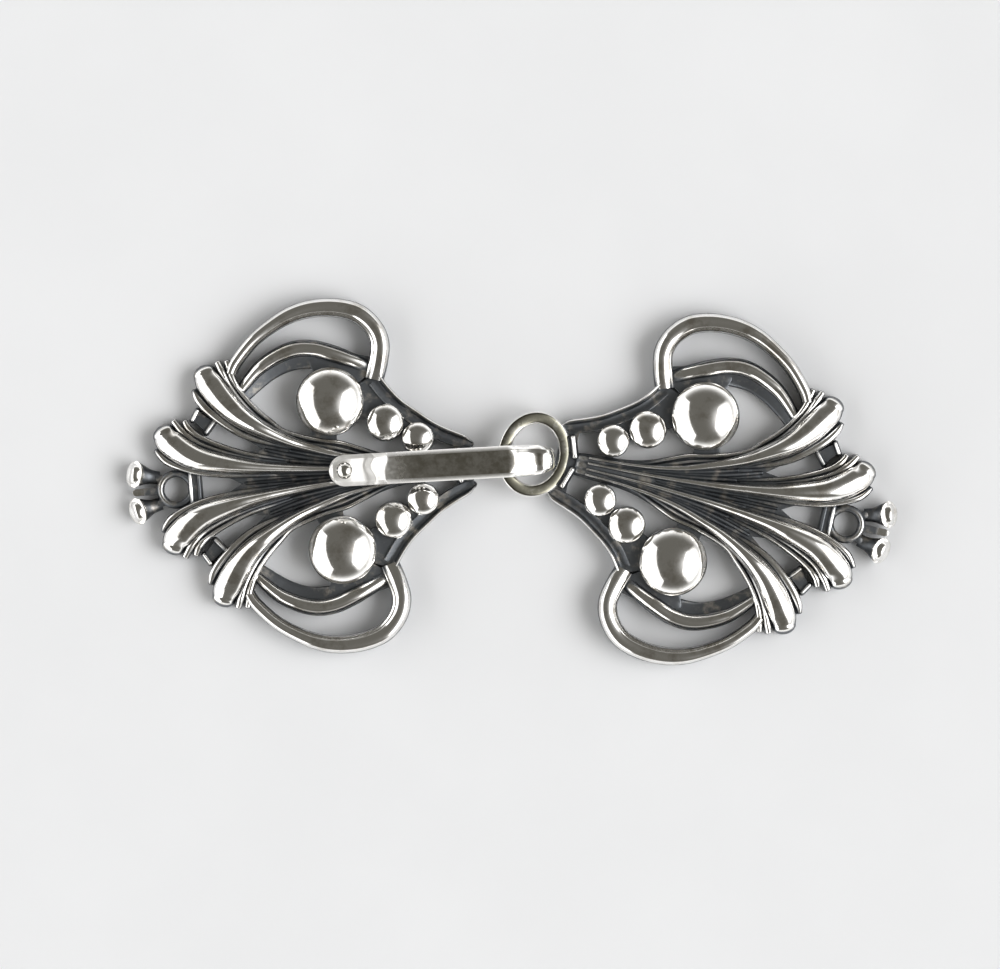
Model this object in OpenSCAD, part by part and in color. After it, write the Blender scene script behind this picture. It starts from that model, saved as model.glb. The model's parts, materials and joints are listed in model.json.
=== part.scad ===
// Hook and eye clasp: two pierced fan plates, joined by a flat hook that
// passes through a ring. Both plates lie on their flat backs at z = 0.
// The hook half points along +X, and the eye half swivels about the ring.

/* [Plates] */
// Length of one plate, from its nose to the end of its fan
plate_len = 24; // [21:0.1:28]
// Width of one plate across its two scrolls
plate_w = 24.8; // [21:0.1:29]
// Thickness of the pierced ground that joins the raised ornament
ground_t = 1.0; // [0.8:0.05:1.3]
// Height of the stem's foot, the ledge and the round hole's rim above the ground
low_rise = 0.1; // [0.05:0.05:0.2]
// Height of the stem along the middle of the plate
stem_h = 1.5; // [1.3:0.05:1.8]
// Width of the stem at its bevelled end
stem_w = 1.6; // [1.3:0.05:2]
// Width of the narrowest links between the ornaments
link_w = 0.5; // [0.4:0.05:0.7]
// Width between the two rails at the nose of the hook plate
hook_nose_w = 2.9; // [2.6:0.1:3.6]
// Width between the two rails at the nose of the eye plate
eye_nose_w = 4.6; // [4.2:0.1:5]

/* [Scrolls] */
// Width of the outer scroll band
scroll_w = 1.35; // [1:0.05:1.6]
// Height of the outer scroll band
scroll_h = 1.9; // [1.5:0.05:2.4]
// Width of the inner arc
arc_w = 1.2; // [0.9:0.05:1.5]
// Height of the inner arc
arc_h = 1.7; // [1.4:0.05:2.2]
// Width of the sloping ledge under the inner arc
ledge_w = 1.0; // [0.8:0.05:1.3]
// Width of the concave rail
rail_w = 1.05; // [0.9:0.05:1.3]
// Height of the lip along the outer edge of the rail
rail_h = 1.55; // [1.35:0.05:1.9]

/* [Petals] */
// Width of a petal's main ridge near its tip
petal_w = 1.9; // [1.6:0.05:2.1]
// Greatest height of a petal's main ridge
petal_h = 2.9; // [2.5:0.05:3.1]
// Width of the ribs beside the main ridge
rib_w = 0.36; // [0.28:0.02:0.46]
// Height of the ribs beside the main ridge
rib_h = 1.65; // [1.4:0.05:1.9]
// Diameter of the round hole between the middle petals
hole_d = 1.7; // [1.4:0.05:2]
// Width of the ring of metal round that hole
hole_rim = 0.5; // [0.4:0.05:0.8]
// Diameter of a trumpet's mouth at the end of the fan
horn_d = 1.9; // [1.5:0.05:2.2]
// Diameter of a trumpet's neck
neck_d = 0.9; // [0.7:0.05:1.1]
// Width of the short bar between the two trumpets
tail_w = 0.5; // [0.4:0.05:0.6]

/* [Balls] */
// Diameter of the two large balls
big_d = 4.8; // [4.2:0.1:5.2]
// Diameter of the two middle balls
mid_d = 2.6; // [2.3:0.1:2.8]
// Diameter of the two small balls
small_d = 2.25; // [2:0.05:2.4]
// Height of the round cap of each ball, as a share of its radius
cap_share = 0.58; // [0.4:0.02:0.9]
// Height of the straight foot under that cap, above the ground
ball_foot = 0.5; // [0.3:0.05:0.8]
// Width of the shoulder round the foot of each ball
shoulder = 0.08; // [0.04:0.02:0.16]

/* [Ring] */
// Outer width of the oval eye ring, across the plate
ring_d = 6.05; // [5.6:0.05:6.6]
// Outer length of the eye ring, along the plate
ring_len = 5.25; // [5:0.05:5.6]
// Diameter of the ring's wire
wire_d = 0.9; // [0.8:0.05:1.1]
// Tilt of the ring, with its free side up
ring_tilt = 12; // [11:0.5:18]
// How far the middle of the ring's wire lies inside the nose
seat_depth = 0.6; // [0.4:0.05:0.8]
// Height of the wire's middle above the back, where it is soldered on
seat_h = 0.7; // [0.65:0.05:0.8]
// Metal left round the wire where the ring is soldered on
solder_w = 0.15; // [0.1:0.05:0.25]
// Height of the nose's two collars above the ground
collar_rise = 0.4; // [0.2:0.05:0.6]
// Turn of the eye half from straight, as the clasp lies
swivel = 17.5; // [5:0.5:25]

/* [Hook] */
// Width of the hook's strap
hook_w = 2.2; // [1.8:0.05:2.6]
// Thickness of the hook's strap
hook_t = 0.55; // [0.5:0.05:0.65]
// Width of the bevel along the hook's edges
hook_bevel = 0.25; // [0.1:0.05:0.25]
// Width of the hook at its bend, where it is narrowest
bend_w = 1.05; // [0.8:0.05:1.4]
// Length over which the strap narrows before its bend
taper_len = 0.7; // [0.3:0.1:1.2]
// Room between the nose of the hook plate and the ring
ring_gap = 1.8; // [1.2:0.05:2.5]
// Room between the hook and the top of the ring's free side
rim_clear = 0.55; // [0.4:0.05:0.8]
// Room between the hook's bend and the surface that the clasp lies on
floor_clear = 0.3; // [0.2:0.05:0.3]
// Distance from the middle of the ring to the outside of the hook's bend
bend_reach = 1.4; // [1.1:0.05:1.5]
// Length of the hook's rise in front of its rivet
rise_len = 1.1; // [0.9:0.1:1.6]
// Distance from the middle of the plate to where the hook is at full height
crest_x = 3.7; // [3.4:0.1:5]
// Length of the strap's slope down into the ring
dip_len = 2.2; // [1.6:0.1:2.6]
// Height by which the strap slopes down there
dip = 0.7; // [0.5:0.05:0.8]
// Length of the straight return at the hook's tip
tip_len = 2.6; // [2.2:0.1:2.8]
// Turn of the hook on its rivet
hook_yaw = -1.7; // [-2.5:0.1:2]

/* [Rivet] */
// Distance of the rivet from the middle of the plate, along the plate
rivet_x = 0.65; // [0.2:0.05:1]
// Distance of the rivet from the middle line of the plate
rivet_y = 0.3; // [0:0.05:0.5]
// Diameter of the round seat that the hook is riveted down on
seat_d = 2; // [1.6:0.1:2.4]
// Height of that seat above the stem
seat_rise = 0.4; // [0.2:0.05:0.6]
// Diameter of the rivet's shank
shank_d = 0.6; // [0.5:0.05:0.8]
// Diameter of the rivet's ball head
head_d = 1.1; // [0.9:0.05:1.4]
// Width by which the rivet's tail is spread in its countersink
tail_flare = 0.1; // [0.06:0.02:0.14]
// Gap between pieces that lie on or in each other
fit_gap = 0.03; // [0.02:0.01:0.05]

/* [Hidden] */

// Facets round the large balls, the smaller balls, the ring, its wire, the
// bars, the trumpets, the pierced hole and the hook's seat, and whatever the
// rivet touches
BIG_FN = 20;
BALL_FN = 16;
RING_FN = 32;
WIRE_FN = 8;
BAR_FN = 6;
HORN_FN = 12;
HOLE_FN = 24;
RIVET_FN = 32;
// Steps from the edge of a ball's cap to its top
CAP_STEPS = 3;
// Stations from one row of a table to the next, on the scroll and elsewhere
SCROLL_STEPS = 2;
STEPS = 1;
// Stations round the hook's rear end, along its rise, along its slope and
// round its bend
REAR_STEPS = 4;
RISE_STEPS = 7;
DIP_STEPS = 6;
BEND_STEPS = 12;

// The plate's own middle is between its large balls
nose_x = -0.398 * plate_len;

// Heights of the low details: the stem's foot, the ledge and the round hole's
// rim, the cross bars between the petals, and the two collars at the nose
low_h = ground_t + low_rise;
web_h = 0.9 * rib_h;
collar_h = ground_t + collar_rise;

// The ring is worked out from the nose that holds it. Its wire's middle line
// has a half length and a half width
wire_r = wire_d / 2;
half_len = ring_len / 2 - wire_r;
half_w = ring_d / 2 - wire_r;
ring_x = nose_x + seat_depth - half_len * cos(ring_tilt);
ring_z = seat_h + half_len * sin(ring_tilt);
rim_top = ring_z + half_len * sin(ring_tilt) + wire_r;
ring_reach = half_len * cos(ring_tilt) + wire_r;

// Where the ring's middle lies in front of the hook plate
pivot = [-nose_x + ring_gap + ring_reach, rivet_y, 0];

// The hook is worked out from its seat on the plate and from the ring
seat_z = stem_h + seat_rise;
strap_low = rim_top + rim_clear;
bend_r = (strap_low - dip - floor_clear) / 2 + hook_t / 2;
bend_x = pivot[0] + bend_reach - bend_r;
bend_z = floor_clear + bend_r;

// Outlines of the raised parts. Columns: place along the plate and out from
// its middle line, as shares of plate_len and plate_w, then width and height
// as shares of the part's own width and height.
SCROLL = [
  [-0.133, 0.261, 1.00, 0.72],
  [-0.150, 0.310, 1.00, 0.90],
  [-0.159, 0.363, 1.00, 1.00],
  [-0.142, 0.411, 1.00, 1.00],
  [-0.100, 0.452, 1.00, 1.00],
  [-0.038, 0.472, 0.97, 1.00],
  [ 0.030, 0.475, 0.92, 1.00],
  [ 0.089, 0.464, 0.85, 1.00],
  [ 0.144, 0.440, 0.75, 0.97],
  [ 0.208, 0.399, 0.68, 0.95],
  [ 0.263, 0.343, 0.65, 0.90],
  [ 0.282, 0.310, 0.60, 0.85]
];
ARC = [
  [-0.127, 0.294, 0.90, 0.68],
  [-0.072, 0.321, 0.90, 0.90],
  [-0.021, 0.343, 1.00, 1.00],
  [ 0.034, 0.362, 1.00, 1.00],
  [ 0.089, 0.365, 1.00, 1.00],
  [ 0.144, 0.349, 0.95, 1.00],
  [ 0.195, 0.321, 0.85, 0.95],
  [ 0.237, 0.282, 0.70, 0.90],
  [ 0.258, 0.258, 0.60, 0.85]
];
LEDGE = [
  [-0.080, 0.285, 1.0, 1.0],
  [-0.013, 0.315, 1.0, 1.0],
  [ 0.042, 0.327, 1.0, 1.0],
  [ 0.106, 0.325, 1.0, 1.0],
  [ 0.161, 0.306, 1.0, 1.0],
  [ 0.203, 0.278, 0.9, 1.0],
  [ 0.240, 0.246, 0.7, 1.0]
];
// The rail has a fifth column: the share of the nose's half width that it adds
RAIL = [
  [-0.394, 0.000, 0.50, 0.85, 1.0],
  [-0.375, 0.010, 0.90, 0.95, 0.96],
  [-0.328, 0.040, 1.00, 1.00, 0.80],
  [-0.284, 0.077, 1.00, 1.00, 0.60],
  [-0.239, 0.123, 1.00, 1.00, 0.40],
  [-0.197, 0.166, 1.00, 1.00, 0.25],
  [-0.165, 0.210, 1.00, 1.00, 0.10],
  [-0.136, 0.258, 1.00, 0.95, 0.0]
];
OUTER_RIDGE = [
  [-0.305, 0.023, 0.16, 0.58],
  [-0.170, 0.031, 0.20, 0.60],
  [-0.042, 0.050, 0.29, 0.63],
  [ 0.064, 0.083, 0.37, 0.68],
  [ 0.136, 0.111, 0.47, 0.84],
  [ 0.212, 0.153, 0.66, 1.00],
  [ 0.267, 0.192, 0.84, 0.96],
  [ 0.312, 0.241, 1.00, 0.84],
  [ 0.344, 0.289, 1.03, 0.66],
  [ 0.357, 0.318, 0.86, 0.52],
  [ 0.366, 0.340, 0.40, 0.38]
];
INNER_RIDGE = [
  [-0.305, 0.008, 0.16, 0.58],
  [-0.170, 0.011, 0.20, 0.60],
  [-0.042, 0.017, 0.27, 0.62],
  [ 0.085, 0.026, 0.34, 0.70],
  [ 0.212, 0.040, 0.50, 0.90],
  [ 0.297, 0.054, 0.69, 1.00],
  [ 0.381, 0.075, 0.87, 0.95],
  [ 0.433, 0.100, 1.00, 0.85],
  [ 0.474, 0.134, 1.03, 0.68],
  [ 0.490, 0.159, 0.86, 0.54],
  [ 0.498, 0.179, 0.40, 0.40]
];
// Ribs: the two above each ridge, and the one below it. The outermost starts
// at the stem, whose side it edges
OUTER_RIB_A = [
  [-0.205, 0.029, 0.7, 0.94],
  [-0.143, 0.043, 0.8, 0.94],
  [-0.073, 0.071, 0.9, 0.94],
  [-0.021, 0.091, 0.9, 0.94],
  [ 0.050, 0.106, 0.9, 0.94],
  [ 0.136, 0.135, 1.0, 0.95],
  [ 0.178, 0.169, 1.0, 0.95],
  [ 0.220, 0.210, 1.0, 1.00],
  [ 0.254, 0.254, 1.0, 1.00],
  [ 0.278, 0.302, 1.3, 1.00],
  [ 0.289, 0.347, 1.2, 0.85]
];
OUTER_RIB_B = [
  [0.093, 0.101, 0.8, 0.80],
  [0.153, 0.131, 1.0, 0.90],
  [0.212, 0.181, 1.0, 0.95],
  [0.254, 0.228, 1.0, 1.00],
  [0.286, 0.278, 1.0, 1.00],
  [0.307, 0.323, 1.3, 1.00],
  [0.317, 0.346, 1.2, 0.85]
];
OUTER_RIB_LOW = [
  [0.127, 0.089, 0.8, 0.75],
  [0.191, 0.109, 1.2, 0.85],
  [0.254, 0.135, 1.5, 0.95],
  [0.305, 0.169, 1.7, 1.00],
  [0.352, 0.210, 1.7, 1.00],
  [0.381, 0.246, 1.5, 0.92],
  [0.392, 0.272, 1.0, 0.75]
];
INNER_RIB_A = [
  [0.127, 0.052, 0.8, 0.75],
  [0.191, 0.067, 1.0, 0.85],
  [0.254, 0.083, 1.0, 0.95],
  [0.318, 0.107, 1.0, 1.00],
  [0.381, 0.139, 1.0, 1.00],
  [0.415, 0.167, 1.3, 1.00],
  [0.426, 0.188, 1.2, 0.85]
];
INNER_RIB_B = [
  [0.140, 0.048, 0.8, 0.75],
  [0.212, 0.062, 1.0, 0.85],
  [0.297, 0.085, 1.0, 0.95],
  [0.352, 0.105, 1.0, 1.00],
  [0.398, 0.129, 1.0, 1.00],
  [0.436, 0.161, 1.3, 1.00],
  [0.458, 0.192, 1.2, 0.85]
];
INNER_RIB_LOW = [
  [0.169, 0.016, 0.8, 0.75],
  [0.212, 0.020, 1.1, 0.85],
  [0.297, 0.026, 1.2, 0.95],
  [0.381, 0.038, 1.2, 1.00],
  [0.445, 0.058, 1.2, 1.00],
  [0.492, 0.083, 1.3, 0.92],
  [0.516, 0.113, 1.0, 0.75]
];
// The stem: its foot, which spreads with the petals, and the bar on the foot
STEM_FOOT = [
  [-0.365, 0, 0.90, 1],
  [-0.300, 0, 1.08, 1],
  [-0.212, 0, 1.25, 1],
  [-0.143, 0, 1.62, 1],
  [-0.073, 0, 2.42, 1],
  [-0.021, 0, 3.00, 1],
  [ 0.050, 0, 3.20, 1],
  [ 0.127, 0, 3.20, 1],
  [ 0.200, 0, 2.40, 1]
];
STEM_BAR = [
  [-0.334, 0, 1.00, 0.67],
  [-0.320, 0, 0.92, 1.00],
  [-0.180, 0, 1.26, 1.00],
  [-0.020, 0, 1.80, 1.00]
];
// Single places. Columns: place along and out, as shares of the plate
BIG = [0.000, 0.210];
MID = [-0.155, 0.137];
SMALL = [-0.246, 0.085];
HOLE = [0.468, 0.000];
TAIL_END = [0.585, 0.000];
HORN_ROOT = [0.515, 0.036];
HORN_MOUTH = [0.590, 0.054];
PETAL_ROOT = [[0.021, 0.000], [0.083, 0.000]];
// The webs between an outer petal and an inner one, and across the middle
// line: the ends of the bar on each of their two edges
WEB_IN = [[0.341, 0.180], [0.367, 0.151]];
WEB_OUT = [[0.386, 0.216], [0.403, 0.190]];
AXIS_WEB = [[0.400, 0.041], [0.424, 0.049]];
// Ground that ends the gap between two petals in a point: beside the middle
// line, and on it
GUSSET = [[0.120, 0.055], [0.262, 0.086], [0.208, 0.0925], [0.262, 0.132], [0.120, 0.085]];
AXIS_GUSSET = [[0.190, -0.020], [0.320, -0.024], [0.275, 0], [0.320, 0.024], [0.190, 0.020]];
// A collar at the nose. Columns: place behind the nose bar as a share of
// wire_d, and place out as a share of the nose's half width
COLLAR = [[0.28, 0.75], [0.75, 0.20]];
// A trumpet. Columns: share of its length, and share of the way from the
// neck's diameter to the mouth's
HORN = [[0.00, 0.0], [0.35, 0.1], [0.50, 0.4], [0.65, 0.95], [0.90, 0.92], [1.12, 0.4]];
// The hook's tip. Columns: share of tip_len, rise as a share of hook_t, and
// share of the bend's width
TIP = [[0.50, 0.00, 1.00], [0.80, 0.03, 0.85], [1.00, 0.10, 0.50]];

// Cross-sections. Columns: share of the width from the middle, share of the
// height
DOME = [[-0.5, 0], [-0.5, 0.6], [-0.33, 0.88], [0, 1], [0.33, 0.88], [0.5, 0.6], [0.5, 0]];
LEANING = [
  [-0.5, 0], [-0.5, 0.55], [-0.40, 0.85], [-0.05, 1], [0.30, 0.94], [0.5, 0.55], [0.5, 0]
];
ROOF = [[-0.5, 0], [-0.5, 0.75], [0, 1], [0.5, 0.75], [0.5, 0]];
LIPPED = [[-0.5, 0], [-0.5, 0.70], [0.15, 0.72], [0.28, 1], [0.5, 1], [0.5, 0]];
SLOPE = [[-0.5, 0], [-0.5, 0.75], [0.5, 1], [0.5, 0]];
BEVEL = [[-0.5, 0], [-0.5, 0.67], [-0.38, 1], [0.38, 1], [0.5, 0.67], [0.5, 0]];
FLAT = [[-0.5, 0], [-0.5, 1], [0.5, 1], [0.5, 0]];

// How far a petal's ground reaches past the middle of its outermost ribs, as
// a share of their width
GROUND_SHARE = 0.56;
// Height of the middle of the rivet's ball above the hook, as a share of head_d
HEAD_SHARE = 0.3;
// How much narrower than the hole the countersink's narrow end is, as a share
// of shank_d
CONE_EASE = 0.016;

// One point of a smooth curve between rows b and c
function between(a, b, c, d, t) =
  0.5 * (2 * b + (c - a) * t + (2 * a - 5 * b + 4 * c - d) * t * t
    + (3 * b - a - 3 * c + d) * t * t * t);

// A table's rows with a few stations to each row
function smooth(rows, steps) = [
  for (i = [0 : len(rows) - 2], j = [0 : steps - 1])
    between(rows[max(i - 1, 0)], rows[i], rows[i + 1],
      rows[min(i + 2, len(rows) - 1)], j / steps),
  rows[len(rows) - 1]
];

// A place on the plate in millimetres, and its foot on the middle line
function spot(row) = [row[0] * plate_len, row[1] * plate_w];
function foot(row) = [row[0] * plate_len, 0];

// A table in millimetres: place, width and height
function sized(rows, w, h, nose_w = 0, steps = STEPS) = [
  for (r = smooth(rows, steps))
    [r[0] * plate_len, r[1] * plate_w + (len(r) > 4 ? r[4] * nose_w / 2 : 0), r[2] * w, r[3] * h]
];

// The sideways direction at station i of a curve
function side(path, i) =
  let (a = path[max(i - 1, 0)], b = path[min(i + 1, len(path) - 1)],
    d = [b[0] - a[0], b[1] - a[1]])
  [-d[1], d[0]] / norm(d);

// A curve moved sideways by a share of its width
function moved(path, share) = [
  for (i = [0 : len(path) - 1]) let (out = side(path, i))
    [path[i][0] + share * path[i][2] * out[0], path[i][1] + share * path[i][2] * out[1]]
];

// Triangles of a skin over rings of n points each, with its two ends closed
function skin_faces(n, rings) = concat(
  [[for (j = [0 : n - 1]) n - 1 - j]],
  [for (i = [0 : rings - 2], j = [0 : n - 1])
    [i * n + j, i * n + (j + 1) % n, (i + 1) * n + (j + 1) % n]],
  [for (i = [0 : rings - 2], j = [0 : n - 1])
    [i * n + j, (i + 1) * n + (j + 1) % n, (i + 1) * n + j]],
  [[for (j = [0 : n - 1]) (rings - 1) * n + j]]
);

// A raised band that follows a curve, standing on z = 0
module band(path, section) {
  points = [
    for (i = [0 : len(path) - 1], s = section)
      let (out = side(path, i))
      [path[i][0] + s[0] * path[i][2] * out[0],
        path[i][1] + s[0] * path[i][2] * out[1], s[1] * path[i][3]]
  ];
  polyhedron(points, skin_faces(len(section), len(path)), convexity = 6);
}

// A short raised bar with round ends
module bar(a, b, d, h) {
  hull()
    for (p = [a, b])
      translate([p[0], p[1], 0]) cylinder(d = d, h = h, $fn = BAR_FN);
}

// Low metal that ties a few places together
module link(places, d = link_w) {
  hull()
    for (p = places)
      translate([p[0], p[1], 0]) cylinder(d = d, h = ground_t, $fn = BAR_FN);
}

// A round cap on a straight foot, as one turned piece
module ball(place, d, facets) {
  edge = 2 * atan(cap_share);
  r = d / 2 / sin(edge);
  foot_z = ground_t + ball_foot;
  cap = [
    for (i = [0 : CAP_STEPS]) let (a = edge * (1 - i / CAP_STEPS))
      [r * sin(a), foot_z + r * (cos(a) - cos(edge))]
  ];
  rim = d / 2 + shoulder;
  translate([place[0], place[1], 0]) rotate_extrude($fn = facets)
    polygon(concat([[0, 0], [rim, 0], [rim, ground_t], [d / 2, ground_t]], cap));
}

// One petal: its ground, its main ridge, two ribs above and one below
module petal(ridge, rib_a, rib_b, rib_low) {
  above = sized(rib_a, rib_w, rib_h);
  below = sized(rib_low, rib_w, rib_h);
  edge = moved(below, -GROUND_SHARE);
  linear_extrude(ground_t)
    polygon(concat(moved(above, GROUND_SHARE), [for (i = [len(edge) - 1 : -1 : 0]) edge[i]]));
  band(sized(ridge, petal_w, petal_h), LEANING);
  for (rib = [above, sized(rib_b, rib_w, rib_h), below]) band(rib, ROOF);
}

// The trumpet at the end of the fan, beside its middle line
module horn() {
  root = spot(HORN_ROOT);
  run = spot(HORN_MOUTH) - root;
  points = [
    for (row = HORN, j = [0 : HORN_FN - 1])
      let (r = (neck_d + row[1] * (horn_d - neck_d)) / 2, a = 360 * j / HORN_FN)
      [row[0] * norm(run), -r * cos(a), r + r * sin(a)]
  ];
  translate([root[0], root[1], 0]) rotate([0, 0, atan2(run[1], run[0])])
    polyhedron(points, skin_faces(HORN_FN, len(HORN)), convexity = 4);
}

// The cross piece between an outer petal and an inner one
module petal_web() {
  near = [for (p = WEB_IN) spot(p)];
  far = [for (p = WEB_OUT) spot(p)];
  linear_extrude(ground_t) polygon([near[0], far[0], far[1], near[1]]);
  for (edge = [near, far]) bar(edge[0], edge[1], rib_w, web_h);
}

// What lies on the plate's middle line: stem, cross piece, rim and tail
module middle() {
  band(sized(STEM_FOOT, stem_w, low_h), FLAT);
  band(sized(STEM_BAR, stem_w, stem_h), BEVEL);
  web = [for (p = AXIS_WEB) spot(p)];
  linear_extrude(ground_t)
    polygon([web[0], web[1], [web[1][0], -web[1][1]], [web[0][0], -web[0][1]]]);
  for (p = web) bar(p, [p[0], -p[1]], rib_w, web_h);
  linear_extrude(ground_t) polygon([for (p = AXIS_GUSSET) spot(p)]);
  translate(spot(HOLE)) cylinder(d = hole_d + 2 * hole_rim, h = low_h, $fn = HOLE_FN);
  link([spot(HOLE) + [(hole_d + hole_rim) / 2, 0], spot(TAIL_END)], tail_w);
}

// The raised parts on one side of the middle line
module half_plate(nose_w) {
  rail = sized(RAIL, rail_w, rail_h, nose_w);
  band(sized(SCROLL, scroll_w, scroll_h, steps = SCROLL_STEPS), DOME);
  band(sized(ARC, arc_w, arc_h), DOME);
  band(sized(LEDGE, ledge_w, low_h), SLOPE);
  band(rail, LIPPED);
  ball(spot(BIG), big_d, BIG_FN);
  ball(spot(MID), mid_d, BALL_FN);
  ball(spot(SMALL), small_d, BALL_FN);
  // ground between the balls, the rail, the scroll's root and the stem
  link([spot(SMALL), spot(MID), rail[3], rail[4]]);
  link([spot(MID), spot(BIG), spot(SCROLL[0]), rail[5]]);
  link([spot(BIG), spot(SCROLL[1]), spot(ARC[2]), spot(LEDGE[2])]);
  link([spot(SMALL), foot(SMALL)]);
  link([spot(BIG), spot(OUTER_RIB_A[4]), spot(PETAL_ROOT[0]), spot(PETAL_ROOT[1])], 2 * link_w);
  petal(OUTER_RIDGE, OUTER_RIB_A, OUTER_RIB_B, OUTER_RIB_LOW);
  petal(INNER_RIDGE, INNER_RIB_A, INNER_RIB_B, INNER_RIB_LOW);
  linear_extrude(ground_t) polygon([for (p = GUSSET) spot(p)]);
  petal_web();
  horn();
  link([spot(HOLE), spot(HORN_ROOT)]);
}

// The bar across the nose, with two short collars behind it
module nose_bar(nose_w) {
  x = nose_x + seat_depth;
  link([[x, nose_w / 2], [x, -nose_w / 2]], wire_d + 2 * solder_w);
  for (s = [-1, 1]) {
    ends = [for (p = COLLAR) [x + p[0] * wire_d, s * p[1] * nose_w / 2]];
    bar(ends[0], ends[1], rib_w, collar_h);
  }
}

// The whole pierced plate, with its fan towards +X
module fan_plate(nose_w) {
  difference() {
    union() {
      for (s = [0, 1]) mirror([0, s, 0]) half_plate(nose_w);
      middle();
      nose_bar(nose_w);
    }
    translate(spot(HOLE)) cylinder(d = hole_d, h = 3 * ground_t, center = true, $fn = HOLE_FN);
  }
}

// Share of the hook's width at a place along it, on its upper side
function narrowed(x) =
  let (from_x = bend_x - taper_len, to_x = bend_x + bend_r - hook_t / 2,
    u = max(0, min(1, (x - from_x) / (to_x - from_x))))
  sqrt(1 - (1 - pow(bend_w / hook_w, 2)) * u * u);

// The middle line of the hook in its side view, from its round rear end to its
// tip. Columns: place along, height, share of the hook's width
function hook_line() =
  let (rear_z = seat_z + fit_gap + hook_t / 2, top_z = strap_low + hook_t / 2,
    rear_x = rivet_x - hook_w / 2, r = bend_r - hook_t / 2)
  concat(
    [for (i = [0 : REAR_STEPS - 1]) let (a = 90 * (i + 0.5) / REAR_STEPS)
      [rear_x + (1 - cos(a)) * hook_w / 2, rear_z, sin(a)]],
    [for (i = [0 : RISE_STEPS]) let (t = i / RISE_STEPS)
      [crest_x - rise_len * (1 - t), rear_z + (top_z - rear_z) * (1 - cos(180 * t)) / 2, 1]],
    [for (i = [0 : DIP_STEPS - 1]) let (t = i / DIP_STEPS, x = bend_x - dip_len * (1 - t))
      [x, top_z - dip * (1 - cos(180 * t)) / 2, narrowed(x)]],
    [for (i = [0 : BEND_STEPS]) let (a = 90 - 180 * i / BEND_STEPS, x = bend_x + r * cos(a))
      [x, bend_z + r * sin(a), a > 0 ? narrowed(x) : bend_w / hook_w]],
    [for (row = TIP)
      [bend_x - tip_len * row[0], bend_z - r + hook_t * row[1], row[2] * bend_w / hook_w]]
  );

// The oval wire ring, flat, about its own middle
module oval_ring() {
  points = [
    for (i = [0 : RING_FN - 1], j = [0 : WIRE_FN - 1])
      let (a = 360 * i / RING_FN, b = 360 * (j + 0.5) / WIRE_FN,
        run = [half_w * cos(a), half_len * sin(a)], out = run / norm(run))
      [half_len * cos(a) + wire_r * cos(b) * out[0], half_w * sin(a) + wire_r * cos(b) * out[1],
        wire_r * sin(b)]
  ];
  faces = [
    for (i = [0 : RING_FN - 1], j = [0 : WIRE_FN - 1], half = [0, 1])
      let (k = (i + 1) % RING_FN, m = (j + 1) % WIRE_FN,
        corners = [i * WIRE_FN + j, i * WIRE_FN + m, k * WIRE_FN + m, k * WIRE_FN + j])
      half == 0 ? [corners[0], corners[1], corners[2]] : [corners[0], corners[2], corners[3]]
  ];
  polyhedron(points, faces, convexity = 6);
}

// Puts a piece of the hook on its rivet, or the rivet in the plate
module on_rivet() { translate([rivet_x, rivet_y, 0]) children(); }

module on_eye_side() {
  translate(pivot) rotate([0, 0, -swivel]) translate([-ring_x, 0, 0]) children();
}

module hook_plate() {
  hole_r = shank_d / 2 + fit_gap;
  color("silver") difference() {
    union() {
      rotate([0, 0, 180]) fan_plate(hook_nose_w);
      on_rivet() cylinder(d = seat_d, h = seat_z, $fn = HOLE_FN);
    }
    on_rivet() cylinder(r = hole_r, h = 3 * seat_z, center = true, $fn = RIVET_FN);
    on_rivet() cylinder(r1 = hole_r + 2 * tail_flare, r2 = hole_r - CONE_EASE * shank_d,
      h = 2 * tail_flare, center = true, $fn = RIVET_FN);
  }
}

module eye_plate() {
  color("silver") on_eye_side() {
    fan_plate(eye_nose_w);
    translate([ring_x, 0, ring_z]) rotate([0, ring_tilt, 0]) oval_ring();
  }
}

module hook() {
  line = hook_line();
  w = hook_w / 2;
  t = hook_t / 2;
  b = hook_bevel;
  // the strap's section: place across, place through
  ring = [[-w, -t], [-w, t - b], [-w + b, t], [w - b, t], [w, t - b], [w, -t]];
  points = [
    for (i = [0 : len(line) - 1], s = ring)
      let (up = side(line, i), share = line[i][2])
      [line[i][0] - rivet_x + s[1] * up[0], s[0] * share, line[i][1] + s[1] * up[1]]
  ];
  color("gainsboro") on_rivet() rotate([0, 0, hook_yaw]) difference() {
    polyhedron(points, skin_faces(len(ring), len(line)), convexity = 6);
    cylinder(d = shank_d + 2 * fit_gap, h = strap_low, $fn = RIVET_FN);
  }
}

module hook_rivet() {
  head_z = seat_z + hook_t + 2 * fit_gap;
  color("white") on_rivet() {
    cylinder(r1 = shank_d / 2 + tail_flare, r2 = shank_d / 2, h = tail_flare, $fn = RIVET_FN);
    cylinder(d = shank_d, h = head_z + HEAD_SHARE * head_d, $fn = RIVET_FN);
    intersection() {
      translate([0, 0, head_z + HEAD_SHARE * head_d]) sphere(d = head_d, $fn = RIVET_FN);
      translate([-head_d, -head_d, head_z]) cube(2 * head_d);
    }
  }
}

hook_plate();
hook();
hook_rivet();
eye_plate();
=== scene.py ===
"""Hook and eye clasp in oxidised silver: the looks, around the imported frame."""

import json
import math

import bmesh
import bpy
import numpy as np
from mathutils import Matrix, Vector
from mathutils.bvhtree import BVHTree


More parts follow.
